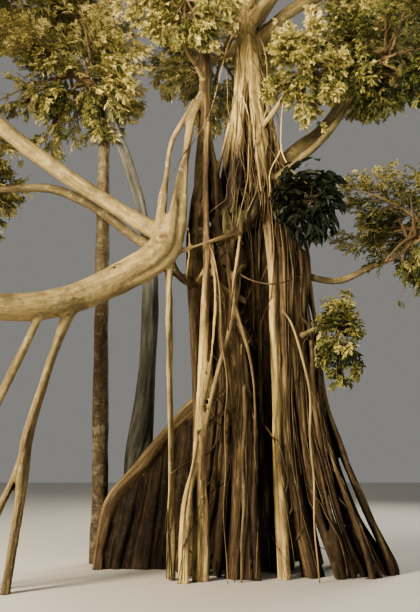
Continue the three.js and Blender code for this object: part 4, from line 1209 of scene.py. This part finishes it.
# Gaps among the sprays and an uneven edge: the size of both as a share of the mass's least reach, how thin a
# place has to be to stay open, and how far out the edge lies
RAGGED = dict(size=0.36, open=-0.28, edge=0.93, uneven=0.3, wave=0.6, spared=0.15)
TWIG = dict(start=0.2, long=(0.3, 0.5), lean=0.7, stout=0.0055, arch=0.06)
SPRAY = dict(start=0.25, long=(0.3, 0.5), lean=0.75, stout=0.0028, droop=0.2, flat=0.7, least=0.25,
             space=0.04)
# How side twigs leave the line that bears them: ahead near its end, outward, and shorter towards its end
BRANCHING = dict(uneven=0.03, end=(0.85, 1.0), lean=1.4, outward=0.35, longest=1.15, shorter=0.45)
# Leaves start along their spray, and lean ahead, aside and down. The rest is how much they stray.
LEAVES = dict(start=0.12, tilt=0.35, outward=0.45, ahead=0.65, aside=0.9, hang=0.18, stray=0.22, turn=0.28,
              sizes=(0.72, 1.18), space=0.01)
# What makes a spray's leaves paler, painting light on a mass's outside and top and shade within: how far out
# it stands, how high, and chance
PALER = dict(outer=0.5, high=0.18, chance=(-0.05, 0.45))


def share_of(mass, places):
    """How far out places lie in a mass: 0 in its middle and 1 on its edge."""
    return np.linalg.norm((places - np.array(mass["centre"])) / mass["reach"], axis=-1)


def number_of(name):
    return list(MASSES).index(name)


def keeps_to_space(name, places):
    own = share_of(MASSES[name], places)
    others = np.min([share_of(mass, places) for other, mass in MASSES.items() if other != name], axis=0)
    low, high = (np.array(corner) for corner in CAD_BOX)
    inside = np.all((places > low) & (places < high), axis=-1)
    return (own <= 1) & (others > own + SHARE_GAP) & inside


def shoot_end(name, out, reach):
    """Where a shoot ends: out from the mass's middle, drawn in as far as its neighbours ask."""
    mass = MASSES[name]
    while reach > SHORTEST:
        end = np.array(mass["centre"]) + out * mass["reach"] * reach
        if keeps_to_space(name, end):
            return end
        reach -= SHORTER
    return None


def drawn_in(name, starts, ends):
    """Ends drawn towards their starts until they keep to the mass's space."""
    for _ in range(DRAWN_IN["times"]):
        outside = ~keeps_to_space(name, ends)
        ends = np.where(outside[:, None], starts + (ends - starts) * DRAWN_IN["share"], ends)
    return ends, keeps_to_space(name, ends)


def branching(rng, name, starts, ways, count, rule):
    """Side twigs along each of a set of lines: their roots, directions and lengths."""
    uneven = rng.uniform(-BRANCHING["uneven"], BRANCHING["uneven"], (len(starts), count))
    share = np.linspace(rule["start"], 1.0, count)[None, :] + uneven
    roots = starts[:, None] + ways[:, None] * share[..., None]
    ahead = unit(ways)[:, None]
    across, over = sideways(ahead)
    turns = np.arange(count)[None] * GOLDEN_ANGLE + rng.uniform(0, 2 * math.pi, (len(starts), 1))
    side = np.cos(turns)[..., None] * across + np.sin(turns)[..., None] * over
    lean = rule["lean"] + BRANCHING["lean"] * smoothstep(share, *BRANCHING["end"])[..., None]
    out = unit(roots - np.array(MASSES[name]["centre"]))
    way = unit(side + ahead * lean + BRANCHING["outward"] * out)
    length = rng.uniform(*rule["long"], share.shape) * (BRANCHING["longest"] - BRANCHING["shorter"] * share)
    return roots.reshape(-1, 3), way.reshape(-1, 3), length.reshape(-1)


def ragged(name, places, spared=0.0):
    """Which places stay when gaps are opened in a mass and its edge is made uneven."""
    mass = MASSES[name]
    number = number_of(name)
    scaled = (places - np.array(mass["centre"])) / (RAGGED["size"] * min(mass["reach"]))
    thick = soft_noise(scaled, number)
    edge = RAGGED["edge"] + RAGGED["uneven"] * soft_noise(scaled * RAGGED["wave"], number + 50)
    return (thick > RAGGED["open"] - spared) & (share_of(mass, places) < edge + spared)


def spikes(starts, ends, radius):
    """Straight three-sided twigs that taper to a point."""
    across, over = sideways(unit(ends - starts))
    places = np.zeros((len(starts), 4, 3))
    for k in range(3):
        turn = 2 * math.pi * k / 3
        places[:, k] = starts + (math.cos(turn) * across + math.sin(turn) * over) * radius
    places[:, 3] = ends
    faces = np.array([(0, 2, 1), (0, 1, 3), (1, 2, 3), (2, 0, 3)])
    faces = faces[None] + 4 * np.arange(len(starts))[:, None, None]
    return places.reshape(-1, 3), faces.reshape(-1, 3)


def bent_twigs(starts, ends, radius, arch):
    """Three-sided twigs that bend once and taper to a point."""
    count = len(starts)
    middles = (starts + ends) / 2
    middles[:, 2] += arch * np.linalg.norm(ends - starts, axis=1)
    across, over = sideways(unit(ends - starts))
    places = np.zeros((count, 7, 3))
    for k in range(3):
        turn = 2 * math.pi * k / 3
        out = (math.cos(turn) * across + math.sin(turn) * over) * radius
        places[:, k] = starts + out
        places[:, 3 + k] = middles + out * 0.65
    places[:, 6] = ends
    faces = [(0, 2, 1), (3, 4, 6), (4, 5, 6), (5, 3, 6)]
    for k in range(3):
        after = (k + 1) % 3
        faces += [(k, after, 3 + after), (k, 3 + after, 3 + k)]
    faces = np.array(faces)[None] + 7 * np.arange(count)[:, None, None]
    return places.reshape(-1, 3), faces.reshape(-1, 3)


LEAF_OUTLINE = [  # share of the length, share of the half width, how far it is raised
    (0.0, 0, 0), (0.3, 0.9, 0.1), (0.66, 0.78, 0.05), (1.0, 0, -0.14), (0.66, -0.78, 0.05), (0.3, -0.9, 0.1),
]
LEAF_FACES = [(0, 1, 2), (0, 2, 3), (0, 3, 4), (0, 4, 5)]


def leaf_blades(roots, ways, faces_up, lengths, wide):
    """Leaves folded along their midribs."""
    side = unit(np.cross(ways, faces_up))
    up = np.cross(side, ways)
    places = np.zeros((len(roots), len(LEAF_OUTLINE), 3))
    for k, (ahead, aside, raised) in enumerate(LEAF_OUTLINE):
        offset = ways * ahead + side * (aside * wide / 2) + up * raised
        places[:, k] = roots + offset * lengths[:, None]
    faces = np.array(LEAF_FACES)[None] + len(LEAF_OUTLINE) * np.arange(len(roots))[:, None, None]
    return places.reshape(-1, 3), faces.reshape(-1, 3)


class Wood:
    """Tells which places lie in the wood or touch it."""

    def __init__(self, tubes):
        self.radii = np.concatenate([tube.radii for tube in tubes])
        self.tree = tree_of(np.vstack([tube.line for tube in tubes]))

    def clear_of(self, places, space=0.02):
        clear = np.ones(len(places), bool)
        for k, place in enumerate(places):
            for _, number, distance in self.tree.find_n(place, 3):
                if distance < self.radii[number] + space:
                    clear[k] = False
        return clear


def stem_of(name):
    """A mass's stem, from the tip of the limb that bears it to its middle and past it."""
    mass = MASSES[name]
    bearer = LIMBS[mass["bearer"]]
    line = smooth_line(bearer["path"])
    tip_way = unit(line[-1] - line[-2])
    start = line[-1] + tip_way * GAP
    centre = np.array(mass["centre"])
    end = centre + STEM["past"] * (centre - start)
    bend = start + tip_way * STEM["bend"] * np.linalg.norm(end - start)
    return Tube(smooth_line([start, bend, end]), [part * bearer["radii"][-1] for part in STEM["taper"]], name)


def shoots_of(name, rule, stem):
    """The shoots that leave a mass's stem all round, with their starts and ends."""
    mass = MASSES[name]
    dice = Seeded(SEEDS["first"] + SEEDS["step"] * number_of(name))
    radii = [part * SHOOT["stout"] * min(mass["reach"]) for part in SHOOT["taper"]]
    shoots, starts, ends = [], [], []
    count = int(mass["shoots"] * rule["shoots"])
    for k in range(count):
        height = 1 - 2 * (k + 0.5) / count
        flat = math.sqrt(1 - height * height)
        turn = k * GOLDEN_ANGLE + SHOOT["stray"] * dice.draw()
        out = np.array([flat * math.cos(turn), flat * math.sin(turn), height])
        start = stem.line[int(dice.draw(*SHOOT["start"]) * (len(stem.line) - 1))]
        end = shoot_end(name, out, dice.draw(*rule.get("reach", SHOOT["reach"])))
        if end is None:
            continue
        middle = (start + end) / 2 + (0, 0, SHOOT["arch"] * np.linalg.norm(end - start))
        shoots.append(Tube(smooth_line([start, middle, end], SHOOT["spacing"]), radii, name))
        starts.append(start)
        ends.append(end)
    return shoots, np.array(starts), np.array(ends)


def twigs_of(rng, name, rule, starts, ends, wood):
    """The starts and ends of the twigs along a mass's shoots."""
    roots, ways, lengths = branching(rng, name, starts, ends - starts, rule["twigs"], TWIG)
    least = min(MASSES[name]["reach"])
    tips, fits = drawn_in(name, roots, roots + ways * (lengths * least)[:, None])
    fits &= wood.clear_of(tips) & wood.clear_of((roots + tips) / 2)
    fits &= ragged(name, tips, RAGGED["spared"])
    return roots[fits], tips[fits]


def sprays_of(rng, name, rule, starts, ends, wood):
    """The starts and ends of the sprays along a mass's twigs."""
    roots, ways, lengths = branching(rng, name, starts, ends - starts, rule["sprays"], SPRAY)
    ways[:, 2] -= SPRAY["droop"]
    ways[:, 2] *= SPRAY["flat"]
    ways = unit(ways)
    least = min(MASSES[name]["reach"])
    twigs = np.maximum(np.linalg.norm(ends - starts, axis=1), SPRAY["least"] * least)
    lengths *= np.repeat(twigs, rule["sprays"])
    lengths = np.clip(lengths, 1.2 * rule["leaf"], 0.3 * least + rule["leaf"])
    tips, fits = drawn_in(name, roots, roots + ways * lengths[:, None])
    fits &= wood.clear_of(tips, SPRAY["space"]) & ragged(name, tips)
    return roots[fits], tips[fits]


def grow_mass(name, wood):
    """A mass's twigs and leaves: stem, shoots, twigs, sprays and leaves, each from the one before."""
    rule = GROWTH.get(name, FULL)
    rng = np.random.default_rng(SEEDS["first"] + number_of(name))
    stem = stem_of(name)
    shoots, starts, ends = shoots_of(name, rule, stem)
    meshes = [stem.mesh(8, 0.06)] + [shoot.mesh(5) for shoot in shoots]
    starts, ends = twigs_of(rng, name, rule, starts, ends, wood)
    meshes.append(bent_twigs(starts, ends, TWIG["stout"] * min(MASSES[name]["reach"]), TWIG["arch"]))
    starts, ends = sprays_of(rng, name, rule, starts, ends, wood)
    meshes.append(spikes(starts, ends, SPRAY["stout"]))
    leaves, hues = spray_leaves(rng, name, rule, starts, ends, wood)
    return join_meshes(meshes), leaves, hues


def spray_leaves(rng, name, rule, starts, ends, wood):
    """The leaves on each spray, to its left and right by turns and one at its tip, with a hue for each."""
    count, sprays = rule["leaves"], len(starts)
    share = np.linspace(LEAVES["start"], 1.0, count)[None, :, None]
    ahead = (ends - starts)[:, None]
    roots = starts[:, None] + ahead * share
    ways = unit(ahead)
    out = unit(starts - np.array(MASSES[name]["centre"]))[:, None]
    tilt = rng.normal(0, LEAVES["tilt"], (sprays, 1, 3))
    up = unit(np.array((0, 0, 1.0)) + LEAVES["outward"] * out + tilt)
    side = unit(np.cross(ways, up))
    hand = np.where(np.arange(count) % 2, 1, -1)[None, :, None]
    hand = np.where(np.arange(count)[None, :, None] == count - 1, 0, hand)
    way = ways * LEAVES["ahead"] + side * hand * LEAVES["aside"]
    way = way + rng.normal(0, LEAVES["stray"], (sprays, count, 3))
    way[..., 2] -= rule.get("hang", LEAVES["hang"])
    way = unit(way).reshape(-1, 3)
    face = unit(up + rng.normal(0, LEAVES["turn"], (sprays, count, 3))).reshape(-1, 3)
    lengths = (rule["leaf"] * rng.uniform(*LEAVES["sizes"], (sprays, count))).reshape(-1)
    roots = roots.reshape(-1, 3)
    tips = roots + way * lengths[:, None]
    fits = keeps_to_space(name, roots) & keeps_to_space(name, tips)
    fits &= wood.clear_of(tips, LEAVES["space"])
    hues = np.repeat(spray_hues(rng, name, rule, starts), count)[fits]
    return leaf_blades(roots[fits], way[fits], face[fits], lengths[fits], rule["wide"]), hues


def spray_hues(rng, name, rule, places):
    """Which of the leaf colours each spray has, from painted shade to painted sun, with some chance."""
    mass = MASSES[name]
    high = (places[:, 2] - mass["centre"][2]) / mass["reach"][2]
    chance = rng.uniform(*PALER["chance"], len(places))
    paler = PALER["outer"] * share_of(mass, places) + PALER["high"] * high + chance
    hue = lerp(*rule["hues"], np.clip(paler, 0, 1))
    return np.clip((hue * len(LEAF_HUES)).astype(int), 0, len(LEAF_HUES) - 1)


# Materials

LEAF_HUES = {  # from the darkest shade to full sun
    "leaf in deep shade": (0.013, 0.02, 0.009),
    "leaf in shade": (0.04, 0.054, 0.018),
    "grown leaf in half shade": (0.1, 0.112, 0.036),
    "olive leaf in half light": (0.21, 0.2, 0.066),
    "young leaf in light": (0.37, 0.33, 0.12),
    "sunlit leaf": (0.57, 0.49, 0.22),
}


def add_node(tree, kind, inputs=None, **settings):
    """Adds a shader node, sets it, and links or fills its inputs."""
    made = tree.nodes.new(f"ShaderNode{kind}")
    for key, value in settings.items():
        setattr(made, key, value)
    for key, value in (inputs or {}).items():
        if isinstance(value, bpy.types.NodeSocket):
            tree.links.new(value, made.inputs[key])
        else:
            made.inputs[key].default_value = value
    return made


def point_value(tree, name):
    """A value that the bark has at each point."""
    return add_node(tree, "Attribute", attribute_name=name, attribute_type="GEOMETRY").outputs["Fac"]


def math_node(tree, operation, *values):
    return add_node(tree, "Math", dict(enumerate(values)), operation=operation).outputs[0]


def mix_colour(tree, share, first, second):
    """Mixes two colours, each a socket or a colour."""
    mixed = add_node(tree, "Mix", data_type="RGBA")
    for key, value in ((0, share), (6, first), (7, second)):
        if isinstance(value, bpy.types.NodeSocket):
            tree.links.new(value, mixed.inputs[key])
        else:
            mixed.inputs[key].default_value = value
    return mixed.outputs[2]


def new_group(name, inputs, outputs):
    """A shader group with named values in and masks out."""
    tree = bpy.data.node_groups.new(name, "ShaderNodeTree")
    for label, value in inputs.items():
        socket = tree.interface.new_socket(label, in_out="INPUT", socket_type="NodeSocketFloat")
        socket.default_value = value
    for label in outputs:
        tree.interface.new_socket(label, in_out="OUTPUT", socket_type="NodeSocketFloat")
    start = tree.nodes.new("NodeGroupInput")
    end = tree.nodes.new("NodeGroupOutput")
    return tree, start.outputs, end.inputs


def spread_mask(tree, value, low, high):
    """A value spread to 0 at low and 1 at high."""
    inputs = {"Value": value, "From Min": low, "From Max": high}
    return add_node(tree, "MapRange", inputs, interpolation_type="SMOOTHSTEP").outputs["Result"]


def grain_place(tree, across, along):
    """The bark's own coordinates, scaled across the grain and along it."""
    grain = add_node(tree, "Attribute", attribute_name="grain", attribute_type="GEOMETRY")
    scale = add_node(tree, "CombineXYZ", {0: across, 1: across, 2: along})
    inputs = {0: grain.outputs["Vector"], 1: scale.outputs[0]}
    return add_node(tree, "VectorMath", inputs, operation="MULTIPLY").outputs[0]


def make_grain_group():
    """Streaks that run along the limb: broad ones and fine ones."""
    tree, given, out = new_group("lengthwise grain", {"Fineness": 14.0, "Length": 9.0}, ["Broad", "Fine"])
    for label, finer, detail in (("Broad", 1.0, 3.0), ("Fine", 3.4, 4.0)):
        across = math_node(tree, "MULTIPLY", given["Fineness"], finer)
        along = math_node(tree, "DIVIDE", across, given["Length"])
        place = grain_place(tree, across, along)
        noise = add_node(tree, "TexNoise", {"Vector": place, "Scale": 1.0, "Detail": detail})
        tree.links.new(spread_mask(tree, noise.outputs[0], 0.28, 0.72), out[label])
    return tree


def make_marks_group():
    """Short marks that run round the limb."""
    tree, given, out = new_group("marks round the limb", {"Closeness": 30.0, "Cover": 0.5}, ["Mask"])
    across = math_node(tree, "DIVIDE", given["Closeness"], 4.5)
    place = grain_place(tree, across, given["Closeness"])
    noise = add_node(tree, "TexNoise", {"Vector": place, "Scale": 1.0, "Detail": 3.0, "Roughness": 0.6})
    low = math_node(tree, "SUBTRACT", 0.78, math_node(tree, "MULTIPLY", given["Cover"], 0.35))
    high = math_node(tree, "ADD", low, 0.1)
    tree.links.new(spread_mask(tree, noise.outputs[0], low, high), out["Mask"])
    return tree


def make_blotch_group():
    """Patches of lichen or stain."""
    tree, given, out = new_group("blotches", {"Closeness": 5.0, "Cover": 0.4, "Blur": 0.1}, ["Mask"])
    place = add_node(tree, "TexCoord").outputs["Object"]
    inputs = {"Vector": place, "Scale": given["Closeness"], "Detail": 7.0, "Roughness": 0.72}
    noise = add_node(tree, "TexNoise", inputs)
    low = math_node(tree, "SUBTRACT", 0.72, math_node(tree, "MULTIPLY", given["Cover"], 0.4))
    high = math_node(tree, "ADD", low, given["Blur"])
    tree.links.new(spread_mask(tree, noise.outputs[0], low, high), out["Mask"])
    return tree


def make_crevice_shade_group():
    """How deep in a crevice the bark lies, which darkens it with painted shade."""
    tree, given, out = new_group("crevice_shade", {"Open": 0.25, "Shut": 0.8}, ["Mask"])
    hollow_shade = point_value(tree, "hollow_shade")
    tree.links.new(spread_mask(tree, hollow_shade, given["Open"], given["Shut"]), out["Mask"])
    return tree


def make_moss_group():
    """Moss on what faces up and in damp patches."""
    tree, given, out = new_group("moss", {"Closeness": 7.0, "Cover": 0.3}, ["Mask"])
    place = add_node(tree, "TexCoord").outputs["Object"]
    inputs = {"Vector": place, "Scale": given["Closeness"], "Detail": 6.0, "Roughness": 0.7}
    noise = add_node(tree, "TexNoise", inputs)
    normal = add_node(tree, "NewGeometry").outputs["Normal"]
    up = add_node(tree, "SeparateXYZ", {0: normal}).outputs[2]
    damp = math_node(tree, "MULTIPLY_ADD", up, 0.12, noise.outputs[0])
    damp = math_node(tree, "MULTIPLY_ADD", point_value(tree, "moss"), 0.3, damp)
    low = math_node(tree, "SUBTRACT", 0.78, math_node(tree, "MULTIPLY", given["Cover"], 0.4))
    high = math_node(tree, "ADD", low, 0.12)
    tree.links.new(spread_mask(tree, damp, low, high), out["Mask"])
    return tree


def make_underside_shade_group():
    """What faces down, which takes painted shade."""
    tree, given, out = new_group("underside_shade", {"Start": 0.1, "Full": 0.9}, ["Mask"])
    normal = add_node(tree, "NewGeometry").outputs["Normal"]
    up = add_node(tree, "SeparateXYZ", {0: normal}).outputs[2]
    down = math_node(tree, "MULTIPLY", up, -1.0)
    tree.links.new(spread_mask(tree, down, given["Start"], given["Full"]), out["Mask"])
    return tree


MAKERS = {
    "grain": make_grain_group, "marks": make_marks_group, "blotches": make_blotch_group,
    "crevice_shade": make_crevice_shade_group, "moss": make_moss_group, "underside_shade": make_underside_shade_group,
}
GROUPS = {name: maker() for name, maker in MAKERS.items()}


def use_group(tree, name, **values):
    made = tree.nodes.new("ShaderNodeGroup")
    made.node_tree = GROUPS[name]
    for label, value in values.items():
        made.inputs[label.capitalize()].default_value = value
    return made.outputs


# Colours of each bark, from its darkest to its palest, on roots and on old boughs, and what grows on it
BARKS = {
    "fig bark": dict(
        roots=[(0.017, 0.01, 0.005), (0.074, 0.046, 0.023), (0.25, 0.184, 0.091), (0.69, 0.53, 0.225)],
        boughs=[(0.034, 0.025, 0.013), (0.12, 0.092, 0.045), (0.33, 0.258, 0.12), (0.68, 0.54, 0.265)],
        fineness=13, length=10, stain=(0.12, 0.098, 0.05), stain_cover=0.66, patch=(0.66, 0.56, 0.37),
        patch_cover=0.52, moss_cover=0.06, marks=0.4,
    ),
    "shaded bark": dict(
        roots=[(0.02, 0.019, 0.015), (0.07, 0.069, 0.053), (0.18, 0.182, 0.155), (0.34, 0.35, 0.3)],
        boughs=[(0.02, 0.019, 0.015), (0.07, 0.069, 0.053), (0.18, 0.18, 0.145), (0.34, 0.34, 0.28)],
        fineness=12, length=9, stain=(0.05, 0.05, 0.036), stain_cover=0.45, patch=(0.25, 0.27, 0.2),
        patch_cover=0.45, moss_cover=0.3, marks=0.2,
    ),
    "pillar bark": dict(
        roots=[(0.03, 0.021, 0.012), (0.11, 0.08, 0.045), (0.28, 0.22, 0.125), (0.5, 0.43, 0.27)],
        boughs=[(0.03, 0.021, 0.012), (0.11, 0.08, 0.045), (0.28, 0.22, 0.125), (0.5, 0.43, 0.27)],
        fineness=10, length=4, stain=(0.06, 0.042, 0.024), stain_cover=0.6, patch=(0.4, 0.4, 0.26),
        patch_cover=0.6, moss_cover=0.28, marks=0.8,
    ),
}
# painted shade for bark deep in a crevice
CREVICE_SHADE = (0.012, 0.006, 0.003, 1)
MOSS = (0.075, 0.08, 0.02, 1)
# painted shade on what faces down
UNDERSIDE_SHADE = (0.1, 0.082, 0.04, 1)
RAMP_STOPS = (0.06, 0.36, 0.66, 0.95)


def colour_ramp(tree, tone, colours):
    ramp = add_node(tree, "ValToRGB", {0: tone})
    stops = ramp.color_ramp.elements
    stops.new(0.4)
    stops.new(0.7)
    for stop, place, colour in zip(stops, RAMP_STOPS, colours):
        stop.position = place
        stop.color = (*colour, 1)
    return ramp.outputs[0]


def bark_masks(tree, look):
    """The masks that the bark's tone, colour and relief share."""
    grain = use_group(tree, "grain", fineness=look["fineness"], length=look["length"])
    return dict(
        broad=grain["Broad"],
        fine=grain["Fine"],
        marks=use_group(tree, "marks", closeness=34.0, cover=look["marks"])["Mask"],
        patches=use_group(tree, "blotches", closeness=8.0, cover=look["patch_cover"], blur=0.17)["Mask"],
        stains=use_group(tree, "blotches", closeness=5.0, cover=look["stain_cover"], blur=0.18)["Mask"],
        clouds=use_group(tree, "blotches", closeness=1.6, cover=0.6, blur=0.35)["Mask"],
        moss=use_group(tree, "moss", closeness=6.0, cover=look["moss_cover"])["Mask"],
        crevice_shade=use_group(tree, "crevice_shade", open=0.22, shut=0.8)["Mask"],
        under=use_group(tree, "underside_shade", start=0.15, full=0.95)["Mask"],
        pale=point_value(tree, "pale"),
        smooth=point_value(tree, "smooth"),
    )


def add_up(tree, total, masks, weights):
    """A total with each mask added to it by its weight."""
    for name, weight in weights.items():
        total = math_node(tree, "MULTIPLY_ADD", masks[name], weight, total)
    return total


def bark_colour(tree, look, masks):
    """Streaks on roots and blotches on old boughs, then what lies over both: patches, stains and moss of the
    bark's own, and painted shade on what faces down and deep in a crevice.
    """
    smooth = masks["smooth"]
    streak = math_node(tree, "MULTIPLY_ADD", smooth, -0.2, 0.36)
    tone = math_node(tree, "MULTIPLY", masks["broad"], streak)
    tone = add_up(tree, tone, masks, dict(pale=0.62, fine=0.15, smooth=0.08, clouds=-0.2, marks=-0.12))
    on_roots = colour_ramp(tree, tone, look["roots"])
    on_boughs = colour_ramp(tree, tone, look["boughs"])
    colour = mix_colour(tree, smooth, on_roots, on_boughs)
    patchy = math_node(tree, "MULTIPLY_ADD", smooth, 0.4, 0.05)
    stained = math_node(tree, "MULTIPLY_ADD", smooth, 0.5, 0.1)
    below = math_node(tree, "MULTIPLY", smooth, 0.35)
    # patches, stains and moss are the bark's own colour; the darkening on what faces down and deep in a
    # crevice is painted shade
    layers = [
        ("patches", patchy, (*look["patch"], 1)), ("stains", stained, (*look["stain"], 1)),
        ("under", below, UNDERSIDE_SHADE), ("moss", 0.7, MOSS), ("crevice_shade", 0.93, CREVICE_SHADE),
    ]
    for name, cover, over in layers:
        colour = mix_colour(tree, math_node(tree, "MULTIPLY", masks[name], cover), colour, over)
    return colour


def bark_relief(tree, masks):
    ridges = math_node(tree, "MULTIPLY_ADD", masks["smooth"], -0.5, 0.7)
    height = math_node(tree, "MULTIPLY", masks["broad"], ridges)
    height = add_up(tree, height, masks, dict(fine=0.35, marks=-0.3, patches=0.12, moss=0.3))
    return add_node(tree, "Bump", {"Height": height, "Strength": 0.55, "Distance": 0.02}).outputs[0]


def bark_material(name):
    """Bark that is streaked on roots and blotched on old boughs, with shade painted dark where it lies deep
    in a crevice.
    """
    material = bpy.data.materials.new(name)
    material.use_nodes = True
    tree = material.node_tree
    surface = tree.nodes["Principled BSDF"]
    masks = bark_masks(tree, BARKS[name])
    tree.links.new(bark_colour(tree, BARKS[name], masks), surface.inputs["Base Color"])
    rough = math_node(tree, "MULTIPLY_ADD", masks["fine"], -0.14, 0.86)
    tree.links.new(rough, surface.inputs["Roughness"])
    tree.links.new(bark_relief(tree, masks), surface.inputs["Normal"])
    surface.inputs["Specular IOR Level"].default_value = 0.3
    return material


def plain_material(name, colour, rough):
    material = bpy.data.materials.new(name)
    material.use_nodes = True
    surface = material.node_tree.nodes["Principled BSDF"]
    surface.inputs["Base Color"].default_value = (*colour, 1)
    surface.inputs["Roughness"].default_value = rough
    surface.inputs["Specular IOR Level"].default_value = 0.35
    return material


BARK_OF = {"stem_rear": "shaded bark", "pillar": "pillar bark"}


def dress_wood(pieces, barks):
    for piece, nodes in pieces:
        piece.data.materials.append(barks[BARK_OF.get(nodes[0], "fig bark")])
        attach(piece, "root")
        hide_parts(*nodes)


def dress_masses(wood):
    hues = [plain_material(name, colour, 0.5) for name, colour in LEAF_HUES.items()]
    twig_bark = plain_material("twig bark", (0.24, 0.17, 0.09), 0.8)
    dark_bark = plain_material("shaded twig bark", (0.07, 0.05, 0.028), 0.8)
    for name in MASSES:
        twigs, blades, hue = grow_mass(name, wood)
        stalks = new_object(f"twigs_{name}", *twigs)
        stalks.data.materials.append(dark_bark if name == "shade" else twig_bark)
        leaves = new_object(f"leaves_{name}", *blades, smooth=False)
        for material in hues:
            leaves.data.materials.append(material)
        leaves.data.polygons.foreach_set("material_index", np.repeat(hue, len(LEAF_FACES)).astype(np.int32))
        for piece in (stalks, leaves):
            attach(piece, "root")
            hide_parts(f"foliage_{name}")


# The stage

FLOOR_SIZE = 90
FLOOR_COLOUR = (0.62, 0.6, 0.56)
SKY = ((0.80, 0.79, 0.75, 1), 0.27)
LIGHTS = {
    "key": dict(place=(-13, -11, 7.5), size=4.5, power=5900, colour=(1.0, 0.87, 0.67)),
    "crown": dict(place=(-4, -14, 5), size=3, power=260, colour=(1.0, 0.88, 0.67), aim=(0, 0, 8.6),
                  spread=50),
    "fill": dict(place=(12, -10, 6), size=9, power=260, colour=(0.85, 0.92, 1.0)),
    "rim": dict(place=(6, 12, 12), size=7, power=1500, colour=(1.0, 0.93, 0.8)),
}
LIT_PLACE = Vector((0, 0, 4.2))


def make_stage():
    corners = [(-1, -1), (1, -1), (1, 1), (-1, 1)]
    places = np.array([(x * FLOOR_SIZE / 2, y * FLOOR_SIZE / 2, 0) for x, y in corners])
    floor = new_object("floor", places, np.array([(0, 1, 2, 3)]), smooth=False)
    floor.data.materials.append(plain_material("pale floor", FLOOR_COLOUR, 0.9))
    world = bpy.data.worlds.new("soft sky")
    world.use_nodes = True
    background = world.node_tree.nodes["Background"]
    background.inputs["Color"].default_value, background.inputs["Strength"].default_value = SKY
    bpy.context.scene.world = world
    for name, rule in LIGHTS.items():
        data = bpy.data.lights.new(name, "AREA")
        data.shape = "DISK"
        data.size = rule["size"]
        data.energy = rule["power"]
        data.color = rule["colour"]
        data.spread = math.radians(rule.get("spread", 180))
        lamp = bpy.data.objects.new(name, data)
        lamp.location = rule["place"]
        aim = Vector(rule.get("aim", LIT_PLACE))
        lamp.rotation_euler = (aim - Vector(rule["place"])).to_track_quat("-Z", "Y").to_euler()
        bpy.context.scene.collection.objects.link(lamp)


def make_camera():
    data = bpy.data.cameras.new("view")
    data.lens = CAMERA["lens"]
    camera = bpy.data.objects.new("view", data)
    camera.location = CAMERA["place"]
    camera.rotation_euler = (math.radians(90 + CAMERA["pitch"]), 0, 0)
    bpy.context.scene.collection.objects.link(camera)
    bpy.context.scene.camera = camera


bpy.context.scene.view_settings.look = "AgX - Medium High Contrast"
make_stage()
make_camera()
barks = {name: bark_material(name) for name in BARKS}
skin = whole_skin()
dress_wood(part_skin(skin), barks)
creeping = tube_piece("fine_roots", fine_roots(skin), 5)
hanging = tube_piece("vines", vine_tubes(), 8)
dress_wood([(creeping, ["trunk"]), (hanging, ["trunk"])], barks)
dress_masses(Wood(trunk_tubes() + core_guides() + every_limb()))
